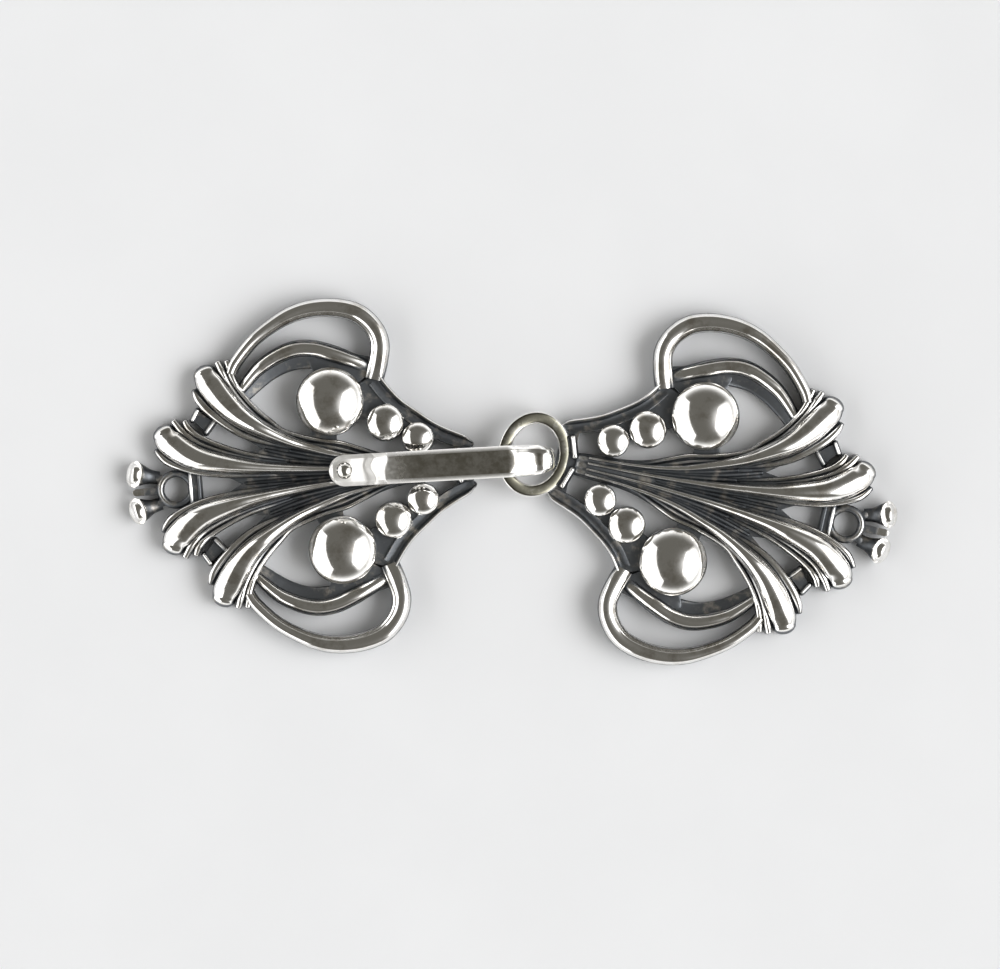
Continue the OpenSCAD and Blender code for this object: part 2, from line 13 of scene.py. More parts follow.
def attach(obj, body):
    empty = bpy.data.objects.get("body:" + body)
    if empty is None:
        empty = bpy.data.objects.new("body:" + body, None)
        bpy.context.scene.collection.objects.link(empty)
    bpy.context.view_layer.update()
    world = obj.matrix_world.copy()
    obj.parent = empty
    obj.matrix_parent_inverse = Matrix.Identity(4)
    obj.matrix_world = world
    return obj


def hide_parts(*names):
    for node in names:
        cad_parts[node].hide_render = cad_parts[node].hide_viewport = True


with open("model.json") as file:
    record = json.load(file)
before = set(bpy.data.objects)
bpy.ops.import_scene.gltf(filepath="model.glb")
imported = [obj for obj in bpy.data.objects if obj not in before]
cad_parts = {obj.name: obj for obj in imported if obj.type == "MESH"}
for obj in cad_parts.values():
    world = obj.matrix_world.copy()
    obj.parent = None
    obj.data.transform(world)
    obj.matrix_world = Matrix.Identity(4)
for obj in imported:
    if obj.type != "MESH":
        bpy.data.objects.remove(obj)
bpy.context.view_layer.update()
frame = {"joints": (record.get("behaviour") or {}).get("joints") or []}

MM = 0.001
# Sizes in millimetres and degrees. Those that the part's source has too are the
# same there, but for the webs' height, the strap's taper and the rivet's head
PLATE_LEN, PLATE_W = 24.0, 24.8
GROUND_T, LOW_H, STEM_H, STEM_W = 1.0, 1.1, 1.5, 1.6
LINK_W = 0.5
NOSE_W = {"hook_plate": 2.9, "eye_plate": 4.6}
SCROLL_W, SCROLL_H = 1.35, 1.9
ARC_W, ARC_H = 1.2, 1.7
LEDGE_W = 1.0
RAIL_W, RAIL_H = 1.05, 1.55
PETAL_W, PETAL_H = 1.9, 2.9
RIB_W, RIB_H = 0.36, 1.65
# The bars that edge the webs and form the collar: widths as shares of RIB_W
WEB_BAR, COLLAR_BAR = 1.2, 1.5
WEB_H, INNER_BAR = 0.78 * RIB_H, 0.15
# Shares of the height up to which the flanks of ribs and bars are straight
RIB_FLANK, AXIS_FLANK, BAR_FLANK = 0.82, 0.7, 0.62
# Round noses at bands' ends. Columns: reach, share of the height that it loses
RIDGE_NOSE, RAIL_NOSE = (0.6, 0.6), (0.3, 0.4)
RIB_NOSE, ROOT_NOSE, BAR_DROP = (0.12, 0.35), (0.1, 0.35), 0.5
# How far the upper edges of flat pieces, of the nose's bar and of the seat are
# eased. EASE_STEP is the share of it at the corner between
EASE, BAR_EASE, SEAT_EASE, EASE_STEP = 0.05, 0.1, 0.05, 0.3
COLLAR_H, HOLE_D, HOLE_RIM = 1.4, 1.7, 0.5
# How far the collar's bars rise above COLLAR_H and the hole's rim above LOW_H,
# and how much lower the rim is at its sides
COLLAR_CREST, RIM_RISE, RIM_DROP = 0.15, 0.08, 0.3
HORN_D, NECK_D, TAIL_W = 1.9, 0.9, 0.5
BALL_D = {"big": 4.8, "mid": 2.6, "small": 2.25}
CAP_SHARE, BALL_FOOT = 0.58, 0.5
# How far a ball's cap reaches down from its top, in degrees, and how wide it is
# there. Rows of its rim: share of the radius, how far below the cap
CAP_EDGE, RIM_SHARE = 50.0, 0.98
BALL_RIM = [(1.0, 0.09), (0.996, 0.05), (0.99, 0.02)]
CAP_ROWS, HEAD_ROWS = 18, 22
RING_D, RING_LEN, WIRE_D, RING_TILT = 6.05, 5.25, 0.9, 12.0
# Below 1, the upper half of the wire's section is fuller than a circle. The
# lower half is a little thinner, which clears the hook's tip
WIRE_WEAR, WIRE_UNDER = 0.5, 0.95
SEAT_DEPTH, SEAT_H, SOLDER_W = 0.6, 0.7, 0.15
# How far the eye half lies turned on the hook
SWIVEL = 17.5
HOOK_W, HOOK_T, HOOK_YAW = 2.2, 0.55, -1.7
RIVET = (0.65, 0.3)
SEAT_D, SEAT_Z = 2.0, 1.9
SHANK_D, HEAD_D, FIT_GAP = 0.6, 1.2, 0.03
TAIL_FLARE, HEAD_SHARE = 0.1, 0.23
# The heights that the cuts through a plate and through the strap reach
CUT_H, STRAP_CUT_H = 3, 4
HOOK_BEVEL, BEND_W, END_W, SHORT_TAPER, TIP_LEN = 0.25, 1.05, 1.6, 1.1, 2.6
RISE_LEN, CREST_X, DIP_LEN, DIP = 1.1, 3.7, 2.2, 0.7
RIM_CLEAR, FLOOR_CLEAR, BEND_REACH = 0.55, 0.3, 1.4

NOSE_X = -0.398 * PLATE_LEN
WIRE_R = WIRE_D / 2
HALF_LEN, HALF_W = RING_LEN / 2 - WIRE_R, RING_D / 2 - WIRE_R
RING_X = NOSE_X + SEAT_DEPTH - HALF_LEN * math.cos(math.radians(RING_TILT))
RING_Z = SEAT_H + HALF_LEN * math.sin(math.radians(RING_TILT))
PIVOT = [v / MM for v in frame["joints"][0]["pos_m"]]
STRAP_LOW = RING_Z + HALF_LEN * math.sin(math.radians(RING_TILT)) + WIRE_R + RIM_CLEAR
BEND_R = (STRAP_LOW - DIP - FLOOR_CLEAR) / 2 + HOOK_T / 2
BEND_X = PIVOT[0] + BEND_REACH - BEND_R
BEND_Z = FLOOR_CLEAR + BEND_R

# Outlines of the raised parts, as in the part's source but for the nose end of
# the stem's bar and the trumpets' profile. Columns: place along the plate and
# out from its middle line, as shares of its length and width, then width and
# height as shares of the part's own. The rail's last one is how far it moves out
# with the nose, as a share of half the nose's width
SCROLL = [
    (-0.133, 0.261, 1.00, 0.72), (-0.150, 0.310, 1.00, 0.90), (-0.159, 0.363, 1.00, 1.00),
    (-0.142, 0.411, 1.00, 1.00), (-0.100, 0.452, 1.00, 1.00), (-0.038, 0.472, 0.97, 1.00),
    (0.030, 0.475, 0.92, 1.00), (0.089, 0.464, 0.85, 1.00), (0.144, 0.440, 0.75, 0.97),
    (0.208, 0.399, 0.68, 0.95), (0.263, 0.343, 0.65, 0.90), (0.282, 0.310, 0.60, 0.85),
]
ARC = [
    (-0.127, 0.294, 0.90, 0.68), (-0.072, 0.321, 0.90, 0.90), (-0.021, 0.343, 1.00, 1.00),
    (0.034, 0.362, 1.00, 1.00), (0.089, 0.365, 1.00, 1.00), (0.144, 0.349, 0.95, 1.00),
    (0.195, 0.321, 0.85, 0.95), (0.237, 0.282, 0.70, 0.90), (0.258, 0.258, 0.60, 0.85),
]
LEDGE = [
    (-0.080, 0.285, 1.0, 1.0), (-0.013, 0.315, 1.0, 1.0), (0.042, 0.327, 1.0, 1.0),
    (0.106, 0.325, 1.0, 1.0), (0.161, 0.306, 1.0, 1.0), (0.203, 0.278, 0.9, 1.0),
    (0.240, 0.246, 0.7, 1.0),
]
RAIL = [
    (-0.394, 0.000, 0.50, 0.85, 1.0), (-0.375, 0.010, 0.90, 0.95, 0.96),
    (-0.328, 0.040, 1.00, 1.00, 0.80), (-0.284, 0.077, 1.00, 1.00, 0.60),
    (-0.239, 0.123, 1.00, 1.00, 0.40), (-0.197, 0.166, 1.00, 1.00, 0.25),
    (-0.165, 0.210, 1.00, 1.00, 0.10), (-0.136, 0.258, 1.00, 0.95, 0.0),
]
OUTER_RIDGE = [
    (-0.305, 0.023, 0.16, 0.58), (-0.170, 0.031, 0.20, 0.60), (-0.042, 0.050, 0.29, 0.63),
    (0.064, 0.083, 0.37, 0.68), (0.136, 0.111, 0.47, 0.84), (0.212, 0.153, 0.66, 1.00),
    (0.267, 0.192, 0.84, 0.96), (0.312, 0.241, 1.00, 0.84), (0.344, 0.289, 1.03, 0.66),
    (0.357, 0.318, 0.86, 0.52), (0.366, 0.340, 0.40, 0.38),
]
INNER_RIDGE = [
    (-0.305, 0.008, 0.16, 0.58), (-0.170, 0.011, 0.20, 0.60), (-0.042, 0.017, 0.27, 0.62),
    (0.085, 0.026, 0.34, 0.70), (0.212, 0.040, 0.50, 0.90), (0.297, 0.054, 0.69, 1.00),
    (0.381, 0.075, 0.87, 0.95), (0.433, 0.100, 1.00, 0.85), (0.474, 0.134, 1.03, 0.68),
    (0.490, 0.159, 0.86, 0.54), (0.498, 0.179, 0.40, 0.40),
]
OUTER_RIB_A = [
    (-0.205, 0.029, 0.7, 0.94), (-0.143, 0.043, 0.8, 0.94), (-0.073, 0.071, 0.9, 0.94),
    (-0.021, 0.091, 0.9, 0.94), (0.050, 0.106, 0.9, 0.94), (0.136, 0.135, 1.0, 0.95),
    (0.178, 0.169, 1.0, 0.95), (0.220, 0.210, 1.0, 1.00), (0.254, 0.254, 1.0, 1.00),
    (0.278, 0.302, 1.3, 1.00), (0.289, 0.347, 1.2, 0.85),
]
OUTER_RIB_B = [
    (0.093, 0.101, 0.8, 0.80), (0.153, 0.131, 1.0, 0.90), (0.212, 0.181, 1.0, 0.95),
    (0.254, 0.228, 1.0, 1.00), (0.286, 0.278, 1.0, 1.00), (0.307, 0.323, 1.3, 1.00),
    (0.317, 0.346, 1.2, 0.85),
]
OUTER_RIB_LOW = [
    (0.127, 0.089, 0.8, 0.75), (0.191, 0.109, 1.2, 0.85), (0.254, 0.135, 1.5, 0.95),
    (0.305, 0.169, 1.7, 1.00), (0.352, 0.210, 1.7, 1.00), (0.381, 0.246, 1.5, 0.92),
    (0.392, 0.272, 1.0, 0.75),
]
INNER_RIB_A = [
    (0.127, 0.052, 0.8, 0.75), (0.191, 0.067, 1.0, 0.85), (0.254, 0.083, 1.0, 0.95),
    (0.318, 0.107, 1.0, 1.00), (0.381, 0.139, 1.0, 1.00), (0.415, 0.167, 1.3, 1.00),
    (0.426, 0.188, 1.2, 0.85),
]
INNER_RIB_B = [
    (0.140, 0.048, 0.8, 0.75), (0.212, 0.062, 1.0, 0.85), (0.297, 0.085, 1.0, 0.95),
    (0.352, 0.105, 1.0, 1.00), (0.398, 0.129, 1.0, 1.00), (0.436, 0.161, 1.3, 1.00),
    (0.458, 0.192, 1.2, 0.85),
]
INNER_RIB_LOW = [
    (0.169, 0.016, 0.8, 0.75), (0.212, 0.020, 1.1, 0.85), (0.297, 0.026, 1.2, 0.95),
    (0.381, 0.038, 1.2, 1.00), (0.445, 0.058, 1.2, 1.00), (0.492, 0.083, 1.3, 0.92),
    (0.516, 0.113, 1.0, 0.75),
]
STEM_FOOT = [
    (-0.365, 0, 0.90, 1), (-0.300, 0, 1.08, 1), (-0.212, 0, 1.25, 1), (-0.143, 0, 1.62, 1),
    (-0.073, 0, 2.42, 1), (-0.021, 0, 3.00, 1), (0.050, 0, 3.20, 1), (0.127, 0, 3.20, 1),
    (0.200, 0, 2.40, 1),
]
STEM_BAR = [
    (-0.342, 0, 1.02, 0.72), (-0.319, 0, 0.92, 1.00), (-0.180, 0, 1.26, 1.00),
    (-0.020, 0, 1.80, 1.00),
]
# Fine ridges that run from the stem to the roots of the ribs, with the same
# columns as the ribs
ROOT_LINES = [
    [(-0.200, 0.021, 0.7, 0.95), (-0.130, 0.036, 0.8, 0.95), (-0.060, 0.060, 0.9, 0.95),
     (0.000, 0.079, 0.9, 0.95), (0.093, 0.101, 0.8, 0.90)],
    [(-0.150, 0.022, 0.7, 0.97), (-0.060, 0.037, 0.9, 0.97), (0.040, 0.059, 1.0, 0.95),
     (0.127, 0.081, 0.8, 0.80)],
    [(-0.240, 0.014, 0.6, 0.98), (-0.110, 0.022, 0.8, 1.00), (0.010, 0.035, 1.0, 0.98),
     (0.127, 0.052, 0.8, 0.90)],
    [(-0.100, 0.004, 0.7, 0.97), (0.020, 0.009, 0.9, 0.95), (0.169, 0.016, 0.8, 0.80)],
    [(-0.060, 0.033, 0.7, 0.93), (0.040, 0.049, 0.9, 0.88), (0.127, 0.069, 1.0, 0.82),
     (0.198, 0.0895, 0.8, 0.72)],
]
AXIS_LINE = [(-0.020, 0, 0.8, 0.93), (0.120, 0, 1.0, 0.85), (0.262, 0, 0.8, 0.72)]
BALLS = {"big": (0.000, 0.210), "mid": (-0.155, 0.137), "small": (-0.246, 0.085)}
HOLE = (0.468, 0.000)
TAIL_END = (0.585, 0.000)
HORN_ROOT, HORN_MOUTH = (0.515, 0.036), (0.590, 0.054)
PETAL_ROOT = [(0.021, 0.000), (0.083, 0.000)]
WEB_IN = [(0.341, 0.180), (0.367, 0.151)]
WEB_OUT = [(0.386, 0.216), (0.403, 0.190)]
AXIS_WEB = [(0.400, 0.041), (0.424, 0.049)]
GUSSET = [(0.120, 0.055), (0.262, 0.086), (0.208, 0.0925), (0.262, 0.132), (0.120, 0.085)]
AXIS_GUSSET = [(0.190, -0.020), (0.320, -0.024), (0.275, 0), (0.320, 0.024), (0.190, 0.020)]
COLLAR = [(0.28, 0.75), (0.75, 0.20)]
# Columns: share of the trumpet's length, share of the way from neck to mouth
HORN = [
    (0.00, 0.0), (0.30, 0.08), (0.50, 0.30), (0.68, 0.62), (0.85, 0.75), (1.00, 0.70),
    (1.10, 0.40),
]
# The domed disc at a trumpet's end: its lean in degrees from level, its place
# as a share of the trumpet's length, then its size and the height of its
# middle as shares of the trumpet's radius
DISC_LEAN, DISC_PLACE, DISC_SHARE, DISC_RISE = 32.0, 0.92, 0.75, 1.18
# Columns: share of the disc's radius, height above its edge
DISC = [
    (0.6, -0.5), (0.90, -0.20), (0.98, -0.05), (1.0, 0.0), (0.985, 0.035), (0.94, 0.06),
    (0.8, 0.09), (0.6, 0.115), (0.3, 0.135), (0, 0.14),
]

# Sections of the raised parts. Columns: share of the width, share of the
# height, from the inner side of a band to its outer side
SCROLL_SECTION = [
    (-0.50, 0), (-0.50, 0.62), (-0.485, 0.76), (-0.45, 0.86), (-0.41, 0.89), (-0.37, 0.87),
    (-0.33, 0.86), (-0.29, 0.90), (-0.22, 0.95), (-0.10, 0.985), (0.04, 1.00), (0.18, 0.995),
    (0.30, 0.96), (0.39, 0.89), (0.45, 0.79), (0.485, 0.66), (0.50, 0.50), (0.50, 0),
]
ARC_SECTION = [
    (-0.50, 0), (-0.50, 0.60), (-0.46, 0.74), (-0.36, 0.86), (-0.22, 0.95), (-0.05, 1.00),
    (0.12, 1.00), (0.27, 0.94), (0.39, 0.83), (0.47, 0.68), (0.50, 0.50), (0.50, 0),
]
LEDGE_SECTION = [
    (-0.50, 0), (-0.50, 0.60), (-0.47, 0.70), (-0.40, 0.76), (-0.25, 0.80), (0.0, 0.86),
    (0.3, 0.95), (0.5, 1.0), (0.50, 0),
]
RAIL_SECTION = [
    (-0.50, 0), (-0.50, 0.70), (-0.47, 0.76), (-0.42, 0.78), (-0.34, 0.75), (-0.18, 0.68),
    (0.00, 0.65), (0.14, 0.68), (0.24, 0.78), (0.30, 0.92), (0.35, 0.99), (0.40, 1.00),
    (0.46, 0.96), (0.49, 0.88), (0.50, 0.75), (0.50, 0),
]
PETAL_SECTION = [
    (-0.50, 0), (-0.50, 0.50), (-0.485, 0.64), (-0.455, 0.76), (-0.41, 0.84), (-0.33, 0.90),
    (-0.24, 0.95), (-0.14, 0.985), (-0.04, 1.00), (0.08, 0.995), (0.20, 0.975), (0.30, 0.94),
    (0.38, 0.89), (0.44, 0.81), (0.48, 0.69), (0.50, 0.52), (0.50, 0),
]
STEM_SECTION = [
    (-0.50, 0), (-0.50, 0.75), (-0.46, 0.92), (-0.40, 0.99), (-0.30, 1.00), (-0.18, 0.96),
    (-0.06, 0.99), (0.06, 0.99), (0.18, 0.96), (0.30, 1.00), (0.40, 0.99), (0.46, 0.92),
    (0.50, 0.75), (0.50, 0),
]
FLAT_SECTION = [
    (-0.50, 0), (-0.50, 0.90), (-0.47, 0.97), (-0.42, 1.0), (0.0, 1.0), (0.42, 1.0),
    (0.47, 0.97), (0.50, 0.90), (0.50, 0),
]

# Stations along the strap: on its round end, seat, rise, flat, dip and bend
N_END, N_SEAT, N_RISE, N_FLAT, N_DIP, N_BEND = 14, 21, 25, 12, 24, 31
# The hook's tip. Columns: share of its length, rise as a share of the strap's
# thickness, and share of the bend's width
TIP = [(0.50, 0.00, 1.00), (0.80, 0.03, 0.85), (1.00, 0.10, 0.50)]
# The strap's section. Columns of its side: how far in from its widest, and how
# high above its middle. Columns of its bevel: how far in, as a share of
# HOOK_BEVEL, and how far below its top. Then points on its top, as shares of
# half its width, and the easing of its lower edge
STRAP_SIDE = [(0.0, -0.05), (0.0, 0.0), (0.012, 0.012), (0.03, 0.027)]
BEVEL_EDGE = [(1.15, 0.012), (1.23, 0.002), (1.35, 0.0)]
TOP_SHARES = (0.55, 0.42, 0.3, 0.2, 0.1)
LOWER_EASE = 0.05
# Heights above the middle from which the section counts as the strap's top, and
# from which it is rounded across
TOP_FROM, ROUNDED_FROM = 0.05, -0.1
# How deep the strap's top is hammered down at its very end, and how fast that
# fades. Then the hollow in its top. Columns: place along it, depth
END_DENT, END_FADE = 0.25, 0.95
HOLLOW = [
    (0.9, 0.0), (1.1, 0.02), (1.95, 0.22), (2.08, 0.225), (2.55, 0.05), (2.8, 0.02), (3.1, 0.0),
]
# How much the strap's top is rounded across. Columns: place along it, share.
# It grows up to CROWN_REACH of half the width
CROWN = [
    (BEND_X - DIP_LEN, 0.0), (BEND_X - 0.75 * DIP_LEN, 0.30), (BEND_X, 0.44),
    (BEND_X + BEND_R, 0.25),
]
CROWN_REACH = 0.7
# The share of the hook's rise that each of its two curves takes
RISE_CURVE = 0.07
# Where the strap's hammered edges stray. Columns: how far, the place along it,
# the reach, then the wave across it: square, slope, ripple, its pitch and phase
STRAYS = [
    (0.34, 2.55, 0.75, 0.9, -0.35, -0.3, 5.0, 0.6),
    (0.28, CREST_X, 0.7, -0.6, 0.5, 0.35, 4.0, -0.8),
]

# Heights are mapped every MAP_PITCH, and the sky is looked for in SKY_WAYS
# directions at each of SKY_REACHES, all in millimetres
MAP_PITCH, MAP_MARGIN, MAP_TOP = 0.06, 1.5, 10.0
SKY_WAYS = 16
SKY_REACHES = (0.12, 0.2, 0.3, 0.45, 0.65, 0.9, 1.3)
# The ground counts as shut in too, and what is up to LOW_FADE above LOW_H. So
# does the stem's root: a band along the middle line that fades to its sides
# and towards the petals' ends
LOW_SHUT, LOW_FADE = 0.45, 0.3
STEM_SHUT, STEM_BAND, STEM_FADE, STEM_FROM, STEM_RUN = 0.32, 1.5, 1.2, -1.0, 7.0
# The share of it that stays on the balls and the trumpets' ends, which are
# rubbed bright above the ground
BALL_SHUT, HORN_SHUT = 0.3, 0.4
# How far back from their mouths and from what height that holds, and from what
# height above the ground and how far past its radius it does for a ball
HORN_BACK, HORN_LOW, BALL_LOW, BALL_EASE = 0.6, 0.5, 0.1, 0.02
LONGEST_EDGE, EDGE_PASSES = 0.5, 4
SHARP_DEG = 32
# Curve points to a row of a table, and facets
STEPS = 9
BALL_SIDES, ROUND_SIDES, BORE_SIDES, BAR_SIDES, HORN_SIDES, LINK_SIDES = 56, 48, 40, 20, 32, 16
RING_STATIONS, WIRE_SIDES = 120, 28
# Where the stations of a band's round nose lie, in degrees round it
NOSE_DEGREES = (9, 18, 27, 36, 45, 54, 62, 70, 77, 83, 88)

# Looks. Linear colours: polished silver, tarnish on the rivet that is also
# painted shade on the hook's upper side, stains on the plates, painted shade on
# the ring's upper side, oxide, and the floor's two tints
SILVER = (0.93, 0.92, 0.90)
TARNISH_AND_TOP_SHADE = (0.40, 0.38, 0.325)
STAIN = (0.52, 0.48, 0.42)
RING_TOP_SHADE = (0.23, 0.222, 0.178)
OXIDE = (0.15, 0.16, 0.172)
PAPER = ((0.85, 0.857, 0.872), (0.87, 0.877, 0.892))
# Roughness that a satin place adds, with its inner and outer reach round the
# rivet in millimetres
SATIN, SATIN_REACH = 0.45, (0.9, 6.0)
# How far a surface has to face up to take the painted shade on its upper side: none, all
RING_SHADE_FACING, HOOK_SHADE_FACING = (0.78, 0.90), (0.93, 0.99)
GRAIN_STRENGTH, GRAIN_DEPTH = 0.25, 0.00002
# The room's own light, the floor's size and its drop below the backs, in metres
ROOM = (0.135, 0.130, 0.116)
FLOOR_SIZE, FLOOR_DROP = 3.0, 0.00002
# Soft lights. Columns: azimuth, elevation, sharpness, strength
GLOWS = [(-14, 40, 16.0, 2.8)]
# Windows. Columns: azimuth, half width, foot, top, strength, softness of the edges
WINDOWS = [(186, 1.35, 0.02, 1.05, 1.6, 0.08), (-14, 0.80, 0.42, 1.55, 3.4, 0.35)]
# The pale band low above the floor: its height and strength
HORIZON = (0.20, 1.3)

# What the photo's frame takes in: millimetres a pixel, the pixel of the
# object's origin, and the turn of the hook half from level
PHOTO_W, PHOTO_H = 1000, 969
MM_PER_PX = 0.07
ORIGIN_PX = (336.5, 475.7)
PHOTO_TURN = 4.9
VIEW_W = PHOTO_W * MM_PER_PX * MM
CAMERA_H, SENSOR_W, CLIP_START = 0.6, 36, 0.01


def smooth(rows, steps=STEPS):
    """Points of a smooth curve through the rows of a table."""
    rows = np.array(rows, float)
    ends = np.vstack([rows[:1], rows, rows[-1:]])
    out = []
    for a, b, c, d in zip(ends, ends[1:], ends[2:], ends[3:]):
        for t in np.arange(steps) / steps:
            out.append(0.5 * (2 * b + (c - a) * t + (2 * a - 5 * b + 4 * c - d) * t * t
                              + (3 * b - a - 3 * c + d) * t ** 3))
    return np.array(out + [rows[-1]])


def sized(rows, w, h, nose_w=0.0):
    """A table in millimetres: place, width and height."""
    r = smooth(rows)
    y = r[:, 1] * PLATE_W
    if r.shape[1] > 4:
        y = y + r[:, 4] * nose_w / 2
    return np.column_stack([r[:, 0] * PLATE_LEN, y, r[:, 2] * w, r[:, 3] * h])


def spot(row):
    return np.array([row[0] * PLATE_LEN, row[1] * PLATE_W])


def sideways(path):
    """The direction to the left of a curve at each station."""
    ahead = np.vstack([path[1:, :2], path[-1:, :2]]) - np.vstack([path[:1, :2], path[:-1, :2]])
    ahead /= np.linalg.norm(ahead, axis=1)[:, None]
    return np.column_stack([-ahead[:, 1], ahead[:, 0]])


def arch(flank, sides=9):
    """A round-topped section with straight flanks up to a share of its height."""
    turn = np.linspace(0, math.pi, sides)
    top = [(-0.5 * math.cos(a), flank + (1 - flank) * math.sin(a)) for a in turn]
    return [(-0.5, 0)] + top + [(0.5, 0)]


def round_end(path, reach, drop, at_start=False):
    """A band's path with stations added that close it in a round nose."""
    p = path[::-1] if at_start else path
    run = p[-1, :2] - p[-2, :2]
    run /= np.linalg.norm(run)
    extra = []
    for a in np.radians(NOSE_DEGREES):
        place = p[-1, :2] + run * reach * math.sin(a)
        extra.append([*place, p[-1, 2] * math.cos(a), p[-1, 3] * (1 - drop * (1 - math.cos(a)))])
    p = np.vstack([p, extra])
    return p[::-1] if at_start else p


def skin(rings, n):
    """Faces of a closed skin over rings of n points each."""
    faces = [tuple(range(n))[::-1]]
    for i in range(rings - 1):
        for j in range(n):
            k = (j + 1) % n
            faces.append((i * n + j, i * n + k, (i + 1) * n + k, (i + 1) * n + j))
    faces.append(tuple((rings - 1) * n + j for j in range(n)))
    return faces


def band(path, section):
    """A raised band along a curve, standing on the back."""
    out = sideways(path)
    points = [
        (p[0] + s * p[2] * o[0], p[1] + s * p[2] * o[1], h * p[3])
        for p, o in zip(path, out) for s, h in section
    ]
    return points, [f[::-1] for f in skin(len(path), len(section))]


def slab(outline, height, ease=EASE):
    """A flat piece with a soft upper edge. The outline runs anticlockwise."""
    outline = np.array(outline, float)
    middle = outline.mean(axis=0)
    step = EASE_STEP * ease
    rings = [(0.0, 0.0), (height - ease, 0.0), (height - step, step), (height, ease)]
    points = []
    for z, inset in rings:
        for p in outline:
            away = middle - p
            p = p + away / max(np.linalg.norm(away), 1e-6) * inset
            points.append((p[0], p[1], z))
    return points, skin(len(rings), len(outline))


def capsule(a, b, d):
    """Outline of a bar with round ends, anticlockwise."""
    a, b = np.array(a, float), np.array(b, float)
    turn = math.atan2(*(b - a)[::-1])
    half = BAR_SIDES // 2
    out = []
    for centre, start in ((b, turn - math.pi / 2), (a, turn + math.pi / 2)):
        for i in range(half + 1):
            t = start + math.pi * i / half
            out.append(centre + d / 2 * np.array([math.cos(t), math.sin(t)]))
    return out


def round_bar(a, b, d, height):
    """A short raised bar, rounded across and at its ends."""
    path = np.linspace([*a, d, height], [*b, d, height], 9)
    for at_start in (False, True):
        path = round_end(path, d / 2, BAR_DROP, at_start)
    return band(path, arch(BAR_FLANK, 13))


def hull_outline(places, d):
    """Outline round discs at several places, anticlockwise."""
    cloud = [
        (p[0] + d / 2 * math.cos(t), p[1] + d / 2 * math.sin(t))
        for p in places for t in np.arange(LINK_SIDES) * 2 * math.pi / LINK_SIDES
    ]
    cloud = sorted(set((round(x, 5), round(y, 5)) for x, y in cloud))

    def chain(points):
        kept = []
        for p in points:
            while len(kept) > 1:
                (ax, ay), (bx, by) = kept[-2:]
                if (bx - ax) * (p[1] - ay) - (by - ay) * (p[0] - ax) > 0:
                    break
                kept.pop()
            kept.append(p)
        return kept[:-1]
    return chain(cloud) + chain(cloud[::-1])


def turned(profile, sides):
    """A solid of revolution about Z. The profile's rows are radius and height,
    from the foot up, and it ends on the axis."""
    points = [
        (r * math.cos(t), r * math.sin(t), z)
        for r, z in profile[:-1] for t in np.arange(sides) * 2 * math.pi / sides
    ]
    faces = skin(len(profile) - 1, sides)[:-1]
    top = len(points)
    points.append((0, 0, profile[-1][1]))
    last = (len(profile) - 2) * sides
    faces += [(last + j, last + (j + 1) % sides, top) for j in range(sides)]
    return points, faces


def dome(d):
    """Profile of a cap with a rounded rim on a straight foot."""
    r = d / 2
    top = GROUND_T + BALL_FOOT + CAP_SHARE * r
    edge = math.radians(CAP_EDGE)
    ball = RIM_SHARE * r / math.sin(edge)
    rim_z = top - ball * (1 - math.cos(edge))
    profile = [(r, 0.0)] + [(share * r, rim_z - drop * r) for share, drop in BALL_RIM]
    for a in np.linspace(edge, 0, CAP_ROWS):
        profile.append((ball * math.sin(a), top - ball * (1 - math.cos(a))))
    return profile


def moved(part, x=0.0, y=0.0, turn=0.0, flip=False):
    """A part's mesh turned about Z and moved, or mirrored across the middle line."""
    points, faces = part
    c, s = math.cos(turn), math.sin(turn)
    points = [(x + c * px - s * py, y + s * px + c * py, pz) for px, py, pz in points]
    if flip:
        points = [(px, -py, pz) for px, py, pz in points]
        faces = [f[::-1] for f in faces]
    return points, faces


def petal(ridge, rib_a, rib_b, rib_low):
    """A petal's ridge between its ribs, and the ground under them."""
    above = sized(rib_a, RIB_W, RIB_H)
    below = sized(rib_low, RIB_W, RIB_H)
    upper = above[:, :2] + 0.5 * above[:, 2:3] * sideways(above)
    lower = below[:, :2] - 0.5 * below[:, 2:3] * sideways(below)
    parts = [slab(list(lower) + list(upper[::-1]), GROUND_T)]
    crest = sized(ridge[:-1], PETAL_W, PETAL_H)
    parts.append(band(round_end(crest, *RIDGE_NOSE), PETAL_SECTION))
    for rib in (above, sized(rib_b, RIB_W, RIB_H), below):
        parts.append(band(round_end(rib, *RIB_NOSE), arch(RIB_FLANK)))
    return parts


def horn():
    """A trumpet and the domed disc that closes it."""
    root = spot(HORN_ROOT)
    run = spot(HORN_MOUTH) - root
    length = np.linalg.norm(run)
    rows = smooth(HORN, 5)
    n = HORN_SIDES
    points = []
    for share, open_share in rows:
        r = (NECK_D + open_share * (HORN_D - NECK_D)) / 2
        for t in np.arange(n) * 2 * math.pi / n:
            points.append((share * length, -r * math.cos(t), r + r * math.sin(t)))
    faces = [f[::-1] for f in skin(len(rows), n)]
    turn = math.atan2(run[1], run[0])
    disc, disc_faces = turned(DISC, n)
    lean = math.radians(DISC_LEAN)
    r = HORN_D / 2
    disc = [
        (DISC_PLACE * length + DISC_SHARE * r * (x * math.cos(lean) + z * math.sin(lean)), r * y,
         r * (DISC_RISE - x * math.sin(lean) + z * math.cos(lean)))
        for x, y, z in disc
    ]
    return [moved(part, *root, turn=turn) for part in ((points, faces), (disc, disc_faces))]


def low_link(places, d=LINK_W):
    """The low ground that joins several places."""
    return slab(hull_outline(places, d), GROUND_T)


